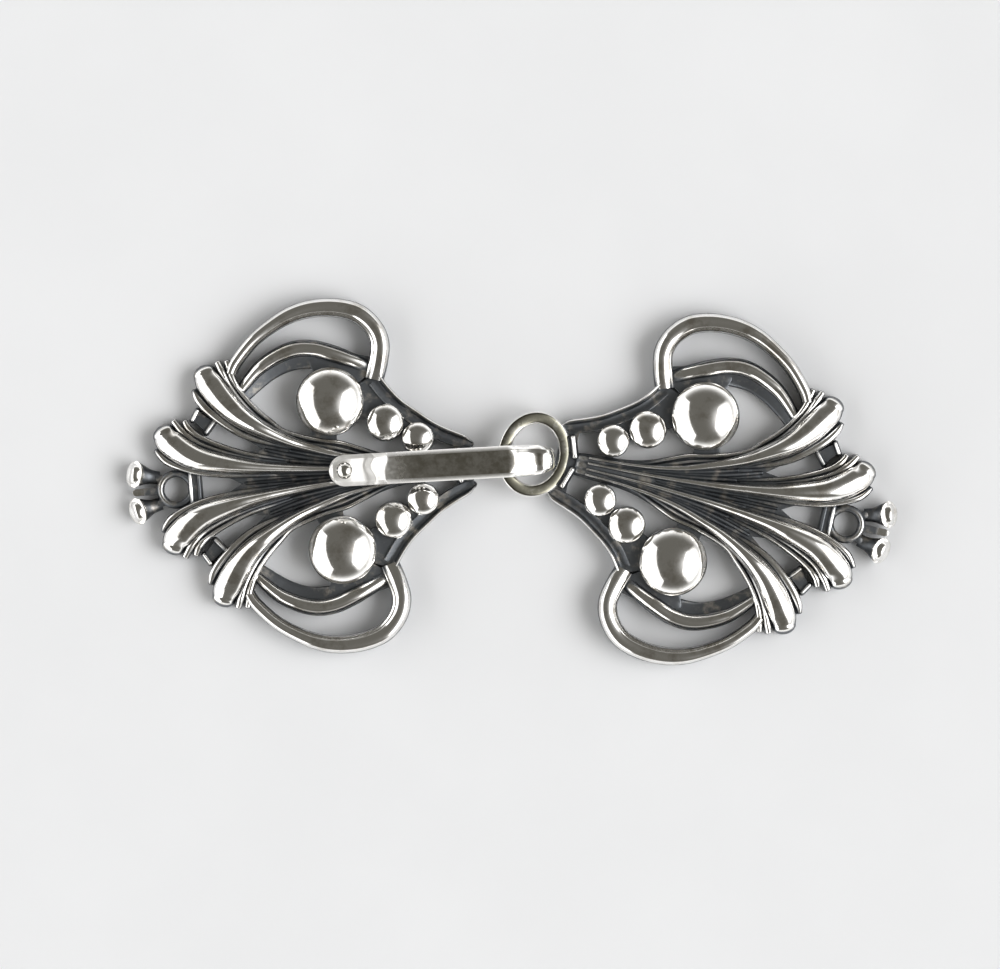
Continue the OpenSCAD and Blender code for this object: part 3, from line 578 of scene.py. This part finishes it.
def half_plate(nose_w):
    """The parts on one side of a plate's middle line."""
    rail = sized(RAIL, RAIL_W, RAIL_H, nose_w)
    rail_rows = rail[::STEPS]
    rail = round_end(rail, *RAIL_NOSE, at_start=True)
    big, mid, small = (spot(BALLS[k]) for k in ("big", "mid", "small"))
    parts = [
        band(sized(SCROLL, SCROLL_W, SCROLL_H), SCROLL_SECTION),
        band(sized(ARC, ARC_W, ARC_H), ARC_SECTION),
        band(sized(LEDGE, LEDGE_W, LOW_H), LEDGE_SECTION),
        band(rail, RAIL_SECTION),
    ]
    for k, place in BALLS.items():
        d = BALL_D[k]
        parts.append(moved(turned(dome(d), BALL_SIDES), *spot(place)))
    parts += [
        low_link([small, mid, rail_rows[3, :2], rail_rows[4, :2]]),
        low_link([mid, big, spot(SCROLL[0]), rail_rows[5, :2]]),
        low_link([big, spot(SCROLL[1]), spot(ARC[2]), spot(LEDGE[2])]),
        low_link([small, (small[0], 0.0)]),
        low_link([big, spot(OUTER_RIB_A[4]), *map(spot, PETAL_ROOT)], 2 * LINK_W),
    ]
    parts += petal(OUTER_RIDGE, OUTER_RIB_A, OUTER_RIB_B, OUTER_RIB_LOW)
    parts += petal(INNER_RIDGE, INNER_RIB_A, INNER_RIB_B, INNER_RIB_LOW)
    for rows in ROOT_LINES:
        line = round_end(sized(rows, RIB_W, RIB_H), *ROOT_NOSE)
        parts.append(band(line, arch(RIB_FLANK)))
    parts.append(slab([spot(p) for p in GUSSET], GROUND_T))
    near, far = [spot(p) for p in WEB_IN], [spot(p) for p in WEB_OUT]
    parts.append(slab([near[0], near[1], far[1], far[0]], GROUND_T))
    parts += [round_bar(*edge, WEB_BAR * RIB_W, WEB_H) for edge in (near, far)]
    parts += horn()
    parts.append(low_link([spot(HOLE), spot(HORN_ROOT)]))
    return parts


def middle(nose_w):
    """The parts on a plate's middle line, and the bar across its nose."""
    parts = [
        band(sized(STEM_FOOT, STEM_W, LOW_H), FLAT_SECTION),
        band(sized(STEM_BAR, STEM_W, STEM_H), STEM_SECTION),
    ]
    (ax, ay), (bx, by) = (spot(p) for p in AXIS_WEB)
    parts.append(slab([(ax, ay), (ax, -ay), (bx, -by), (bx, by)], GROUND_T))
    for x, y, height in ((ax, ay, GROUND_T + INNER_BAR), (bx, by, WEB_H)):
        parts.append(round_bar((x, -y), (x, y), WEB_BAR * RIB_W, height))
    parts.append(slab([spot(p) for p in AXIS_GUSSET], GROUND_T))
    line = round_end(sized(AXIS_LINE, RIB_W, RIB_H), *ROOT_NOSE)
    parts.append(band(line, arch(AXIS_FLANK)))
    hole = spot(HOLE)
    rim = HOLE_D + 2 * HOLE_RIM
    crest = [
        (rim / 2 - HOLE_RIM * (1 - math.cos(a)) / 2,
         LOW_H + RIM_RISE - RIM_DROP * (1 - math.sin(a)))
        for a in np.linspace(0, math.pi, 9)
    ]
    parts.append(moved(turned([(rim / 2, 0)] + crest + [(0, crest[-1][1])], ROUND_SIDES), *hole))
    tail = (hole[0] + (HOLE_D + HOLE_RIM) / 2, 0.0)
    parts.append(slab(capsule(tail, spot(TAIL_END), TAIL_W), GROUND_T))
    x = NOSE_X + SEAT_DEPTH
    bar = capsule((x, -nose_w / 2), (x, nose_w / 2), WIRE_D + 2 * SOLDER_W)
    parts.append(slab(bar, GROUND_T, BAR_EASE))
    for side in (-1, 1):
        ends = [(x + p * WIRE_D, side * q * nose_w / 2) for p, q in COLLAR]
        parts.append(round_bar(*ends, COLLAR_BAR * RIB_W, COLLAR_H + COLLAR_CREST))
    return parts


def mesh_object(name, part):
    points, faces = part
    mesh = bpy.data.meshes.new(name)
    mesh.from_pydata([tuple(float(v) for v in p) for p in points], [], faces)
    mesh.update()
    thing = bpy.data.objects.new(name, mesh)
    bpy.context.scene.collection.objects.link(thing)
    return thing


def united(name, parts, cutters=()):
    """One closed mesh from closed parts that overlap, less the cutters."""
    base = mesh_object(name, parts[0])
    others = [(mesh_object(name + "_part", p), "UNION") for p in parts[1:]]
    others += [(mesh_object(name + "_cut", p), "DIFFERENCE") for p in cutters]
    for other, operation in others:
        step = base.modifiers.new("join", "BOOLEAN")
        step.operation = operation
        step.solver = "MANIFOLD"
        step.object = other
    bpy.context.view_layer.update()
    seen = base.evaluated_get(bpy.context.evaluated_depsgraph_get())
    mesh = bpy.data.meshes.new_from_object(seen)
    base.modifiers.clear()
    old = base.data
    base.data = mesh
    bpy.data.meshes.remove(old)
    for other, _ in others:
        gone = other.data
        bpy.data.objects.remove(other)
        bpy.data.meshes.remove(gone)
    return base


def seat():
    """The round seat under the hook, in the hook plate's own turned place."""
    r = SEAT_D / 2
    foot = [(r, 0), (r, SEAT_Z - SEAT_EASE), (r - SEAT_EASE, SEAT_Z), (0, SEAT_Z)]
    return moved(turned(foot, ROUND_SIDES), -RIVET[0], -RIVET[1])


def rivet_bore():
    """The rivet's hole through the plate, opened for its tail at the back."""
    r = SHANK_D / 2 + FIT_GAP
    shape = [(r + 2 * TAIL_FLARE, -TAIL_FLARE), (r, TAIL_FLARE), (r, CUT_H), (0, CUT_H)]
    return moved(turned(shape, BORE_SIDES), -RIVET[0], -RIVET[1])


def plate_mesh(node):
    """A cast plate in its own frame, in millimetres."""
    nose_w = NOSE_W[node]
    half = half_plate(nose_w)
    parts = middle(nose_w) + half + [moved(p, flip=True) for p in half]
    hole = [(HOLE_D / 2, -1), (HOLE_D / 2, CUT_H), (0, CUT_H)]
    cutters = [moved(turned(hole, ROUND_SIDES), *spot(HOLE))]
    if node == "hook_plate":
        parts.append(seat())
        cutters.append(rivet_bore())
    return united(node + "_cast", parts, cutters)


def split_long_edges(thing):
    """Shorter edges, so that shading and tarnish change over short steps."""
    mesh = bmesh.new()
    mesh.from_mesh(thing.data)
    bmesh.ops.triangulate(mesh, faces=mesh.faces)
    for _ in range(EDGE_PASSES):
        edges = [e for e in mesh.edges if e.calc_length() > LONGEST_EDGE]
        if not edges:
            break
        bmesh.ops.subdivide_edges(mesh, edges=edges, cuts=1)
        bmesh.ops.triangulate(mesh, faces=[f for f in mesh.faces if len(f.verts) > 3])
    mesh.to_mesh(thing.data)
    mesh.free()


def height_map(thing):
    """Heights of the mesh's upper side over a grid, with the grid's corner."""
    tree = BVHTree.FromPolygons([v.co for v in thing.data.vertices],
                                [p.vertices for p in thing.data.polygons])
    places = [v.co.xy for v in thing.data.vertices]
    low = np.min(places, axis=0) - MAP_MARGIN
    high = np.max(places, axis=0) + MAP_MARGIN
    counts = np.ceil((high - low) / MAP_PITCH).astype(int)
    heights = np.zeros(counts)
    down = Vector((0, 0, -1))
    for i in range(counts[0]):
        x = low[0] + i * MAP_PITCH
        for j in range(counts[1]):
            hit = tree.ray_cast(Vector((x, low[1] + j * MAP_PITCH, MAP_TOP)), down)[0]
            if hit is not None:
                heights[i, j] = hit.z
    return heights, low


def mark_recesses(thing):
    """Stores how far each point is shut in by metal around and above it."""
    heights, low = height_map(thing)
    n = len(thing.data.vertices)
    co = np.empty(3 * n)
    thing.data.vertices.foreach_get("co", co)
    co = co.reshape(-1, 3)
    shut = np.zeros(n)
    last_cell = np.array(heights.shape) - 1
    for turn in np.arange(SKY_WAYS) * 2 * math.pi / SKY_WAYS:
        steepest = np.zeros(n)
        for reach in SKY_REACHES:
            at = co[:, :2] + reach * np.array([math.cos(turn), math.sin(turn)])
            cell = np.clip(((at - low) / MAP_PITCH + 0.5).astype(int), 0, last_cell)
            steepest = np.maximum(steepest, (heights[cell[:, 0], cell[:, 1]] - co[:, 2]) / reach)
        shut += steepest / np.sqrt(1 + steepest ** 2)
    shut /= SKY_WAYS
    shut += LOW_SHUT * (1 - np.clip((co[:, 2] - LOW_H) / LOW_FADE, 0, 1))
    stem = 1 - np.clip((np.abs(co[:, 1]) - STEM_BAND) / STEM_FADE, 0, 1)
    shut += STEM_SHUT * stem * (1 - np.clip((co[:, 0] - STEM_FROM) / STEM_RUN, 0, 1))
    for name, place in BALLS.items():
        for side in (-1, 1):
            centre = [place[0] * PLATE_LEN, side * place[1] * PLATE_W]
            away = np.linalg.norm(co[:, :2] - centre, axis=1)
            on_ball = away < BALL_D[name] / 2 + BALL_EASE
            shut[on_ball & (co[:, 2] > GROUND_T + BALL_LOW)] *= BALL_SHUT
    discs = spot(HORN_MOUTH)[0] - HORN_BACK
    shut[(co[:, 0] > discs) & (co[:, 2] > HORN_LOW)] *= HORN_SHUT
    layer = thing.data.attributes.new("recess", "FLOAT", "POINT")
    layer.data.foreach_set("value", shut.astype(np.float32))


def finish_mesh(thing, place, material):
    """Puts a mesh in millimetres in its place in metres, smooth but for its edges."""
    thing.data.transform(Matrix.Scale(MM, 4) @ place)
    thing.data.shade_smooth()
    thing.data.set_sharp_from_angle(angle=math.radians(SHARP_DEG))
    thing.data.materials.clear()
    thing.data.materials.append(material)
    return thing


def eye_place():
    """Where the eye plate's own frame lies."""
    return (Matrix.Translation((PIVOT[0], PIVOT[1], 0))
            @ Matrix.Rotation(math.radians(-SWIVEL), 4, "Z")
            @ Matrix.Translation((-RING_X, 0, 0)))


def ring_part():
    """The oval wire ring, tilted with its free side up, in the eye plate's frame."""
    tilt = math.radians(RING_TILT)
    rings, sides = RING_STATIONS, WIRE_SIDES
    points, faces = [], []
    for i in range(rings):
        a = 2 * math.pi * i / rings
        out = np.array([HALF_W * math.cos(a), HALF_LEN * math.sin(a)])
        out /= np.linalg.norm(out)
        for j in range(sides):
            b = 2 * math.pi * j / sides
            wear, thick = (WIRE_WEAR, 1.0) if b < math.pi else (1.0, WIRE_UNDER)
            across = math.copysign(abs(math.cos(b)) ** wear, math.cos(b))
            x = HALF_LEN * math.cos(a) + WIRE_R * across * out[0]
            y = HALF_W * math.sin(a) + WIRE_R * across * out[1]
            z = WIRE_R * thick * math.copysign(abs(math.sin(b)) ** wear, math.sin(b))
            points.append((RING_X + x * math.cos(tilt), y, RING_Z - x * math.sin(tilt) + z))
            k, m = (i + 1) % rings, (j + 1) % sides
            faces.append((i * sides + j, k * sides + j, k * sides + m, i * sides + m))
    return points, faces


def narrowed(x):
    """Share of the hook's width at a place along it, on its upper side."""
    start, end = BEND_X - SHORT_TAPER, BEND_X + BEND_R - HOOK_T / 2
    u = min(max((x - start) / (end - start), 0.0), 1.0)
    return math.sqrt(1 - (1 - (END_W / HOOK_W) ** 2) * u * u)


def lift(t):
    """Share of the hook's rise at a share of the way along it."""
    bend = RISE_CURVE
    if t < bend:
        return t * t / (2 * bend * (1 - bend))
    if t > 1 - bend:
        return 1 - (1 - t) ** 2 / (2 * bend * (1 - bend))
    return (t - bend / 2) / (1 - bend)


def hook_stations():
    """The strap's middle line in its side view: place along, height, width share."""
    rear_z = SEAT_Z + FIT_GAP + HOOK_T / 2
    top_z = STRAP_LOW + HOOK_T / 2
    r = BEND_R - HOOK_T / 2
    rows = []
    for i in range(N_END):
        a = math.radians(90 * (i + 0.5) / N_END)
        rows.append((RIVET[0] - HOOK_W / 2 * math.cos(a), rear_z, math.sin(a)))
    rows += [(RIVET[0] + 0.1 * i, rear_z, 1.0) for i in range(N_SEAT)]
    for t in np.arange(N_RISE) / (N_RISE - 1):
        rows.append((CREST_X - RISE_LEN * (1 - t), rear_z + (top_z - rear_z) * lift(t), 1.0))
    flat = BEND_X - DIP_LEN - CREST_X
    rows += [(CREST_X + flat * i / N_FLAT, top_z, 1.0) for i in range(1, N_FLAT)]
    for t in np.arange(N_DIP) / N_DIP:
        x = BEND_X - DIP_LEN * (1 - t)
        rows.append((x, top_z - DIP * (1 - math.cos(math.pi * t)) / 2, narrowed(x)))
    half = N_BEND // 2
    for i in range(N_BEND):
        a = math.radians(90 - 90 * i / half)
        x = BEND_X + r * math.cos(a)
        lower = (1 + math.cos(math.pi * min(1.0, (i - half) / half))) / 2
        share = narrowed(x) if i < half else (BEND_W + (END_W - BEND_W) * lower) / HOOK_W
        rows.append((x, BEND_Z + r * math.sin(a), share))
    tip = smooth([(0.0, 0.0, 1.0)] + TIP, 6)
    rows += [(BEND_X - TIP_LEN * t, BEND_Z - r + HOOK_T * rise, share * BEND_W / HOOK_W)
             for t, rise, share in tip[1:]]
    return np.array(rows)


def strap_section():
    """Half width and half thickness of the strap, bevelled along its upper edges."""
    w, t, b = HOOK_W / 2, HOOK_T / 2, HOOK_BEVEL
    upper = [(w - inset, z) for inset, z in STRAP_SIDE]
    upper += [(w - share * b, t - drop) for share, drop in BEVEL_EDGE]
    upper += [(share * w, t) for share in TOP_SHARES]
    lower = [(w, LOWER_EASE - t), (w - LOWER_EASE, -t)]
    right = lower[::-1] + upper
    return right + [(0.0, t)] + [(-x, z) for x, z in right[::-1]]


def looked_up(x, table):
    """The value at a place between the rows of a table."""
    return float(np.interp(x, *zip(*table)))


def dent(x):
    """How far the strap's top is hammered down at a place along it."""
    rear = RIVET[0] - HOOK_W / 2
    end = max(0.0, END_DENT - END_FADE * (x - rear))
    return end + looked_up(x, HOLLOW)


def stray(x, across):
    """How far the strap's hammered edges stray along it."""
    u = across / (HOOK_W / 2)
    return sum(
        far * math.exp(-((x - middle) / reach) ** 2)
        * (square * u * u + slope * u + ripple * math.sin(pitch * u + phase))
        for far, middle, reach, square, slope, ripple, pitch, phase in STRAYS
    )


def hook_part():
    """The strap, bent down and back into the hook, about the rivet's axis."""
    rows = hook_stations()
    ahead = np.gradient(rows[:, :2], axis=0)
    ahead /= np.linalg.norm(ahead, axis=1)[:, None]
    section = strap_section()
    points = []
    for (x, z, share), (dx, dz) in zip(rows, ahead):
        rounding = looked_up(x, CROWN) if z > BEND_Z else 0.0
        for across, up in section:
            place = x
            if up > TOP_FROM:
                place += stray(x, across)
                up -= dent(x)
            if up > ROUNDED_FROM:
                up -= rounding * min(abs(across / (HOOK_W / 2)), CROWN_REACH) ** 3
            points.append((place - dz * up, across * share, z + dx * up))
    faces = skin(len(rows), len(section))
    return moved((points, faces), -RIVET[0], 0.0)


def rivet_part():
    """The rivet: spread tail, shank and a ball head, about its own axis."""
    head_z = SEAT_Z + HOOK_T + 2 * FIT_GAP
    middle_z = head_z + HEAD_SHARE * HEAD_D
    r = HEAD_D / 2
    low = math.asin(HEAD_SHARE / 0.5)
    profile = [(SHANK_D / 2 + TAIL_FLARE, 0), (SHANK_D / 2, TAIL_FLARE), (SHANK_D / 2, head_z)]
    for a in np.linspace(-low, math.pi / 2, HEAD_ROWS):
        profile.append((r * math.cos(a), middle_z + r * math.sin(a)))
    profile[-1] = (0.0, middle_z + r)
    return turned(profile, ROUND_SIDES)


def on_rivet():
    return Matrix.Translation((RIVET[0], RIVET[1], 0))


# Materials
def nodes_of(name):
    material = bpy.data.materials.new(name)
    material.use_nodes = True
    tree = material.node_tree
    return material, tree, tree.nodes["Principled BSDF"]


def add(tree, kind, **values):
    node = tree.nodes.new(kind)
    for key, value in values.items():
        setattr(node, key, value)
    return node


def noise(tree, scale, detail, roughness=0.55):
    """Unevenness over the object, from 0 to 1. Its scale is in waves a metre."""
    place = tree.nodes.get("place") or add(tree, "ShaderNodeTexCoord", name="place")
    out = add(tree, "ShaderNodeTexNoise")
    out.inputs["Scale"].default_value = scale
    out.inputs["Detail"].default_value = detail
    out.inputs["Roughness"].default_value = roughness
    tree.links.new(place.outputs["Object"], out.inputs["Vector"])
    return out.outputs["Fac"]


def ranged(tree, value, low, high, to_low, to_high):
    """A value taken smoothly from one range to another."""
    node = add(tree, "ShaderNodeMapRange", interpolation_type="SMOOTHSTEP")
    tree.links.new(value, node.inputs["Value"])
    numbers = (low, high, to_low, to_high)
    for key, number in zip(("From Min", "From Max", "To Min", "To Max"), numbers):
        node.inputs[key].default_value = number
    return node.outputs["Result"]


def math_node(tree, operation, a, b=0.0):
    node = add(tree, "ShaderNodeMath", operation=operation)
    for slot, value in zip(node.inputs, (a, b)):
        if isinstance(value, (int, float)):
            slot.default_value = value
        else:
            tree.links.new(value, slot)
    return node.outputs[0]


def added(tree, a, b):
    return math_node(tree, "ADD", a, b)


def times(tree, a, b):
    return math_node(tree, "MULTIPLY", a, b)


def mixed(tree, share, a, b):
    node = add(tree, "ShaderNodeMix", data_type="RGBA")
    tree.links.new(share, node.inputs["Factor"])
    for slot, colour in ((node.inputs[6], a), (node.inputs[7], b)):
        if isinstance(colour, tuple):
            slot.default_value = (*colour, 1)
        else:
            tree.links.new(colour, slot)
    return node.outputs[2]


def bumped(tree, shader, height):
    """Unevenness too fine to be in the mesh."""
    bump = add(tree, "ShaderNodeBump")
    bump.inputs["Strength"].default_value = GRAIN_STRENGTH
    bump.inputs["Distance"].default_value = GRAIN_DEPTH
    tree.links.new(height, bump.inputs["Height"])
    tree.links.new(bump.outputs["Normal"], shader.inputs["Normal"])


def cast_silver():
    """Polished silver on what stands out, dark oxide in what is shut in."""
    material, tree, shader = nodes_of("cast_silver")
    layer = add(tree, "ShaderNodeAttribute", attribute_name="recess")
    shut = added(tree, layer.outputs["Fac"], times(tree, noise(tree, 1400, 4), 0.16))
    stain = ranged(tree, noise(tree, 620, 5, 0.62), 0.46, 0.70, 0.0, 0.7)
    worn = mixed(tree, stain, SILVER, STAIN)
    oxide = ranged(tree, shut, 0.38, 0.70, 0.0, 1.0)
    rub = ranged(tree, noise(tree, 900, 5, 0.65), 0.50, 0.72, 0.0, 0.75)
    rubbed = mixed(tree, rub, OXIDE, STAIN)
    tree.links.new(mixed(tree, oxide, worn, rubbed), shader.inputs["Base Color"])
    shader.inputs["Metallic"].default_value = 1.0
    rough = ranged(tree, shut, 0.30, 0.70, 0.08, 0.44)
    wear = ranged(tree, noise(tree, 5200, 2), 0.35, 0.8, 0.0, 0.07)
    tree.links.new(added(tree, rough, wear), shader.inputs["Roughness"])
    grain = added(tree, noise(tree, 900, 2), times(tree, noise(tree, 6000, 2), 0.25))
    pits = times(tree, times(tree, noise(tree, 2400, 4), oxide), 2.5)
    bumped(tree, shader, added(tree, grain, pits))
    return material


def near(tree, place, inner, outer):
    """1 within the inner distance of a place in millimetres, 0 past the outer one."""
    away = add(tree, "ShaderNodeVectorMath", operation="DISTANCE")
    tree.links.new(tree.nodes["place"].outputs["Object"], away.inputs[0])
    away.inputs[1].default_value = [v * MM for v in place]
    return ranged(tree, away.outputs["Value"], inner * MM, outer * MM, 1.0, 0.0)


def bright_silver(name, rough, tarnish_and_shade, dark_tone=TARNISH_AND_TOP_SHADE, shade_facing=None, satin=None):
    """Silver worn bright by use, with patches that tarnish has dulled. With a range
    given for facing up, the darker tone is painted shade as well, kept only on what
    faces up. A satin place is unpolished and has neither tarnish nor painted shade,
    and has an inner and an outer reach."""
    material, tree, shader = nodes_of(name)
    shader.inputs["Metallic"].default_value = 1.0
    tint = ranged(tree, noise(tree, 800, 6, 0.7), 0.38, 0.62, tarnish_and_shade - 0.5, tarnish_and_shade)
    # Painted shade: the darker tone stays only where the surface faces up
    if shade_facing:
        facing = add(tree, "ShaderNodeSeparateXYZ")
        tree.links.new(tree.nodes["place"].outputs["Normal"], facing.inputs[0])
        tint = times(tree, tint, ranged(tree, facing.outputs["Z"], *shade_facing, 0.0, 1.0))
    wear = ranged(tree, noise(tree, 4500, 3), 0.3, 0.8, rough, rough + 0.12)
    if satin:
        share = near(tree, *satin)
        wear = added(tree, wear, times(tree, share, SATIN))
        # The satin place takes off the tarnish and the painted shade
        tint = times(tree, tint, math_node(tree, "SUBTRACT", 1.0, share))
    tree.links.new(mixed(tree, tint, SILVER, dark_tone), shader.inputs["Base Color"])
    tree.links.new(wear, shader.inputs["Roughness"])
    bumped(tree, shader, noise(tree, 800, 3))
    return material


def paper():
    """The floor's pale, barely uneven paper."""
    material, tree, shader = nodes_of("pale_paper")
    tint = ranged(tree, noise(tree, 60, 3), 0.3, 0.7, 0.0, 1.0)
    tree.links.new(mixed(tree, tint, *PAPER), shader.inputs["Base Color"])
    shader.inputs["Roughness"].default_value = 0.9
    shader.inputs["Specular IOR Level"].default_value = 0.1
    return material


# Floor, lights and camera
def studio():
    """The floor, and the room and its lights as one sky."""
    bpy.ops.mesh.primitive_plane_add(size=FLOOR_SIZE, location=(0, 0, -FLOOR_DROP))
    floor = bpy.context.object
    floor.name = "floor"
    floor.data.materials.append(paper())
    world = bpy.data.worlds.new("room")
    bpy.context.scene.world = world
    world.use_nodes = True
    sky = world.node_tree.nodes["Background"]
    sky.inputs["Color"].default_value = (*ROOM, 1)
    sky.inputs["Strength"].default_value = 1.0
    tree = world.node_tree
    lights = [glow(tree, *row) for row in GLOWS] + [window(tree, *row) for row in WINDOWS]
    lights.append(horizon(tree, *HORIZON))
    total = lights[0]
    for light in lights[1:]:
        total = added(tree, total, light)
    lamp = add(tree, "ShaderNodeBackground")
    lamp.inputs["Color"].default_value = (1, 1, 1, 1)
    tree.links.new(total, lamp.inputs["Strength"])
    both = add(tree, "ShaderNodeAddShader")
    tree.links.new(sky.outputs[0], both.inputs[0])
    tree.links.new(lamp.outputs[0], both.inputs[1])
    tree.links.new(both.outputs[0], tree.nodes["World Output"].inputs["Surface"])


def along(tree, towards):
    """How far the direction looked in points along another one."""
    way = tree.nodes.get("way") or add(tree, "ShaderNodeTexCoord", name="way")
    dot = add(tree, "ShaderNodeVectorMath", operation="DOT_PRODUCT")
    tree.links.new(way.outputs["Generated"], dot.inputs[0])
    dot.inputs[1].default_value = towards
    return dot.outputs["Value"]


def glow(tree, azimuth, elevation, sharpness, strength):
    """A large soft light round one direction."""
    a, e = math.radians(azimuth), math.radians(elevation)
    dot = along(tree, (math.cos(e) * math.cos(a), math.cos(e) * math.sin(a), math.sin(e)))
    away = math_node(tree, "SUBTRACT", dot, 1.0)
    fade = math_node(tree, "EXPONENT", times(tree, away, sharpness))
    return times(tree, fade, strength)


def window(tree, azimuth, half_width, foot, top, strength, softness):
    """An upright light. Its half width, foot and top are slopes as seen from the
    clasp, and so is the softness of its edges."""
    a = math.radians(azimuth)
    ahead = along(tree, (math.cos(a), math.sin(a), 0))
    depth = math_node(tree, "MAXIMUM", ahead, 0.01)
    side = along(tree, (-math.sin(a), math.cos(a), 0))
    across = math_node(tree, "ABSOLUTE", math_node(tree, "DIVIDE", side, depth))
    rise = math_node(tree, "DIVIDE", along(tree, (0, 0, 1)), depth)
    parts = [
        ranged(tree, across, half_width - softness, half_width + softness, 1.0, 0.0),
        ranged(tree, rise, foot - 0.6 * softness, foot + 0.6 * softness, 0.0, 1.0),
        ranged(tree, rise, top - softness, top + softness, strength, 0.0),
        ranged(tree, ahead, 0.0, 0.05, 0.0, 1.0),
    ]
    total = parts[0]
    for part in parts[1:]:
        total = times(tree, total, part)
    return total


def horizon(tree, height, strength):
    """A pale band all round, low above the floor."""
    rise = math_node(tree, "DIVIDE", along(tree, (0, 0, 1)), height)
    fade = math_node(tree, "EXPONENT", times(tree, times(tree, rise, rise), -1.0))
    return times(tree, fade, strength)


def camera():
    """Straight above, turned as the photo shows the clasp."""
    lens = bpy.data.cameras.new("camera")
    lens.sensor_width = SENSOR_W
    lens.lens = SENSOR_W * CAMERA_H / VIEW_W
    lens.clip_start = CLIP_START
    thing = bpy.data.objects.new("camera", lens)
    bpy.context.scene.collection.objects.link(thing)
    right = (PHOTO_W / 2 - ORIGIN_PX[0]) * MM_PER_PX * MM
    up = (ORIGIN_PX[1] - PHOTO_H / 2) * MM_PER_PX * MM
    aim = Matrix.Rotation(math.radians(-PHOTO_TURN), 4, "Z") @ Vector((right, up, 0))
    thing.location = aim + Vector((0, 0, CAMERA_H))
    thing.rotation_euler = (0, 0, math.radians(-PHOTO_TURN))
    bpy.context.scene.camera = thing


def main():
    """Two cast plates, the ring, the strap and its rivet, then the studio."""
    cast = cast_silver()
    for node, body, place in (
        ("hook_plate", "hook_half", Matrix.Rotation(math.pi, 4, "Z")),
        ("eye_plate", "eye_half", eye_place()),
    ):
        plate = plate_mesh(node)
        split_long_edges(plate)
        mark_recesses(plate)
        finish_mesh(plate, place, cast)
        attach(plate, body)
        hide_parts(node)
    # The ring's upper side gets a dark tone of painted shade
    ring_silver = bright_silver("ring_silver", 0.10, 1.35, RING_TOP_SHADE, RING_SHADE_FACING)
    ring = finish_mesh(mesh_object("eye_ring", ring_part()), eye_place(), ring_silver)
    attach(ring, "eye_half")
    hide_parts("eye_plate")
    bore = SHANK_D / 2 + FIT_GAP
    bore = turned([(bore, 0), (bore, STRAP_CUT_H), (0, STRAP_CUT_H)], BORE_SIDES)
    strap = united("hook_strap", [hook_part()], [bore])
    satin = ((*RIVET, SEAT_Z + HOOK_T), *SATIN_REACH)
    # The strap's upper side gets tarnish patches and painted shade, both left off near the rivet
    hook_silver = bright_silver("hook_silver", 0.07, 1.0, TARNISH_AND_TOP_SHADE, HOOK_SHADE_FACING, satin)
    turn = Matrix.Rotation(math.radians(HOOK_YAW), 4, "Z")
    finish_mesh(strap, on_rivet() @ turn, hook_silver)
    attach(strap, "hook_half")
    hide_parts("hook")
    rivet_silver = bright_silver("rivet_silver", 0.05, 0.5)
    rivet = finish_mesh(mesh_object("rivet_ball", rivet_part()), on_rivet(), rivet_silver)
    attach(rivet, "hook_half")
    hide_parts("hook_rivet")
    studio()
    camera()
    bpy.context.scene.view_settings.view_transform = "Standard"


main()
